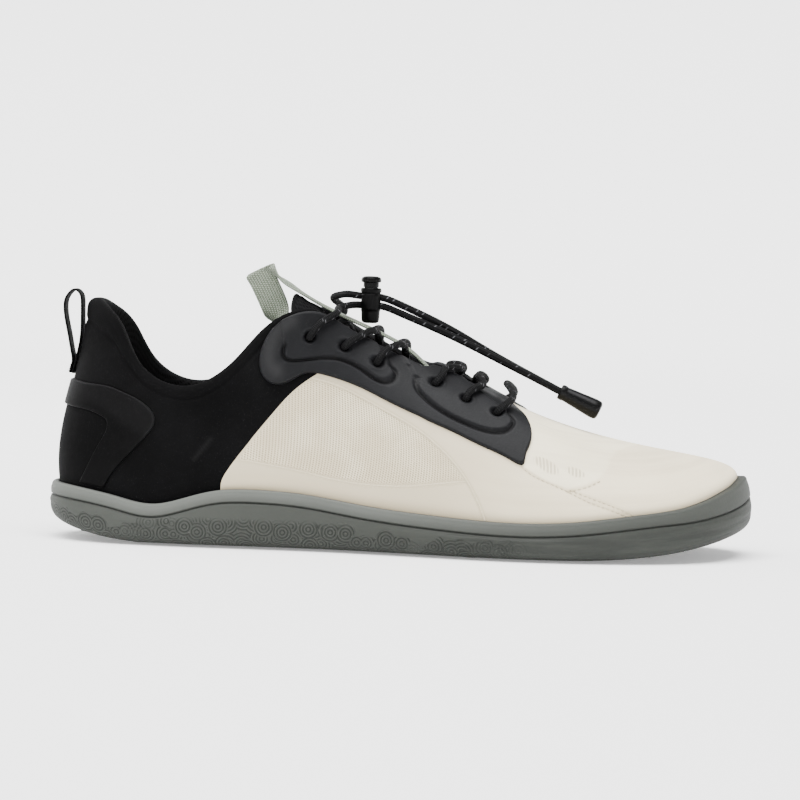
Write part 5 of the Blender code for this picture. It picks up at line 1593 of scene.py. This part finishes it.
def makeLock():
    x = (cords["lockAt"] - 0.5) * shoe["length"]
    level = cords["lockLevel"] * shoe["instepHeight"]
    reach = lock["spacing"] / 2 + laceRadius + shoe["gap"]
    slot = lace["diameter"] + 2 * shoe["gap"]
    base = level - reach - lock["foot"]
    tall = lock["height"]
    radius = lock["diameter"] / 2
    bore = radius - lock["wall"]
    profile = [(0.0, 0.0), (0.60 * radius, 0.0), (0.84 * radius, 0.0007), (0.88 * radius, 0.20 * tall),
               (0.90 * radius, 0.34 * tall), (radius, 0.40 * tall), (radius, 0.80 * tall),
               (0.95 * radius, 0.82 * tall), (0.95 * radius, 0.85 * tall), (radius, 0.87 * tall),
               (radius, tall - 0.0005), (radius - 0.0003, tall), (bore, tall), (bore, lock["wall"]),
               (0.0, lock["wall"])]
    mesh = turnedMesh("lockBarrel", rounded(profile, 0.0005, 5), 56, (x, 0.0, base))
    barrel = addPiece("lockBarrel", mesh, finishes["lock"], stands=["lock_barrel"])
    slotCut(barrel, slot, level - reach, level + reach, x)
    plunger = bore - shoe["gap"]
    foot = base + lock["wall"] + shoe["gap"] + lock["travel"]
    height = base + tall + lock["button"] - foot
    head = lock["head"]
    neck = height - head
    profile = [(0.0, 0.0), (plunger, 0.0), (plunger, neck), (0.96 * radius, neck),
               (0.97 * radius, neck + 0.45 * head), (0.92 * radius, height - 0.28 * head),
               (0.66 * radius, height - 0.05 * head), (0.30 * radius, height), (0.0, height)]
    mesh = turnedMesh("lockPushButton", rounded(profile, 0.0007, 6), 56, (x, 0.0, foot))
    button = addPiece("lockPushButton", mesh, finishes["button"], buttonBody,
                      ["lock_button"])
    slotCut(button, slot, level - reach, level + reach + lock["travel"], x)


def makeInsole():
    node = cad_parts["insole"]
    node.data.materials.clear()
    node.data.materials.append(finishes["insole"])


for stage, makers in (("sole", (makeSole, makeTread, makeInsole)), ("upper", (makeUpper, makeVamp, makeSeams)),
                      ("overlays", (makeEyestay, makeCounter)),
                      ("tongue, strap and loop", (makeTongue, makeStrap, makeLoop)),
                      ("lacing and lock", (makeLaces, makeCords, makeLock))):
    print(stage)
    for make in makers:
        make()


# Studio
studio = dict(azimuth=3.0, elevation=3.2, distance=1.25, roll=1.67, target=(0.0, 0.0, 0.05),
              focalPixels=3093.6, imageSize=800, centre=(402.5, 421.8), paper=rgb(0.93, 0.93, 0.93),
              glow=0.3, sky=0.60, flat=2.2, wallRound=1.5, drop=-0.0004)
studioLights = [
    dict(name="key", kind="AREA", place=(-0.75, -0.9, 0.95), target=(0.0, 0.0, 0.04), power=5.0, size=0.5),
    dict(name="rear", kind="AREA", place=(-0.9, 0.7, 0.7), target=(-0.05, 0.0, 0.05), power=5.0, size=0.5),
    dict(name="overhead", kind="SUN", place=(-0.05, -0.22, 1.0), target=(0.0, 0.0, 0.0), power=8.6,
         spread=55.0),
]


def addLight(name, kind, place, target, power, size=0.0, spread=0.0):
    data = bpy.data.lights.new(name, kind)
    data.energy = power
    if kind == "SUN":
        data.angle = math.radians(spread)
    else:
        data.shape = "DISK"
        data.size = size
    light = newObject(name, data)
    light.location = place
    light.rotation_euler = (Vector(target) - Vector(place)).to_track_quat("-Z", "Y").to_euler()


def addCamera():
    azimuth, elevation = math.radians(studio["azimuth"]), math.radians(studio["elevation"])
    level = math.cos(elevation)
    back = Vector((math.sin(azimuth) * level, -math.cos(azimuth) * level, math.sin(elevation)))
    data = bpy.data.cameras.new("camera")
    data.sensor_width = 36.0
    data.lens = studio["focalPixels"] / studio["imageSize"] * data.sensor_width
    half = studio["imageSize"] / 2
    data.shift_x = -(studio["centre"][0] - half) / studio["imageSize"]
    data.shift_y = (studio["centre"][1] - half) / studio["imageSize"]
    camera = newObject("camera", data)
    camera.location = Vector(studio["target"]) + back * studio["distance"]
    roll = Quaternion(-back, -math.radians(studio["roll"]))
    camera.rotation_mode = "QUATERNION"
    camera.rotation_quaternion = roll @ (-back).to_track_quat("-Z", "Y")
    bpy.context.scene.camera = camera


def addFloor():
    # a wide floor that rises into a round wall, so that no edge shows behind the shoe
    drop, wallRound = studio["drop"], studio["wallRound"]
    bend = [(studio["flat"] + wallRound * math.sin(a), wallRound * (1 - math.cos(a)) + drop)
            for a in np.linspace(0, 1.35, 12)]
    outer = bend[-1][0] + 0.02
    profile = [(0.0, drop), (0.6, drop), (1.4, drop)] + bend
    profile += [(outer, bend[-1][1]), (outer, -0.02), (0.0, -0.02)]
    finish = Finish("floorPaper", 0.85, specular=0.1)
    finish.shader.inputs["Emission Color"].default_value = studio["paper"]
    finish.shader.inputs["Emission Strength"].default_value = studio["glow"]
    mesh = turnedMesh("floor", profile, 96, (0.0, 0.0, 0.0))
    mesh.materials.append(finish.set(color=studio["paper"]))
    floor = newObject("floor", mesh)


def addSky():
    world = bpy.data.worlds.new("studio")
    world.use_nodes = True
    sky = world.node_tree.nodes["Background"]
    sky.inputs["Color"].default_value = rgb(1.0, 1.0, 1.0)
    sky.inputs["Strength"].default_value = studio["sky"]
    bpy.context.scene.world = world


print("studio")
addCamera()
addSky()
for light in studioLights:
    addLight(**light)
addFloor()
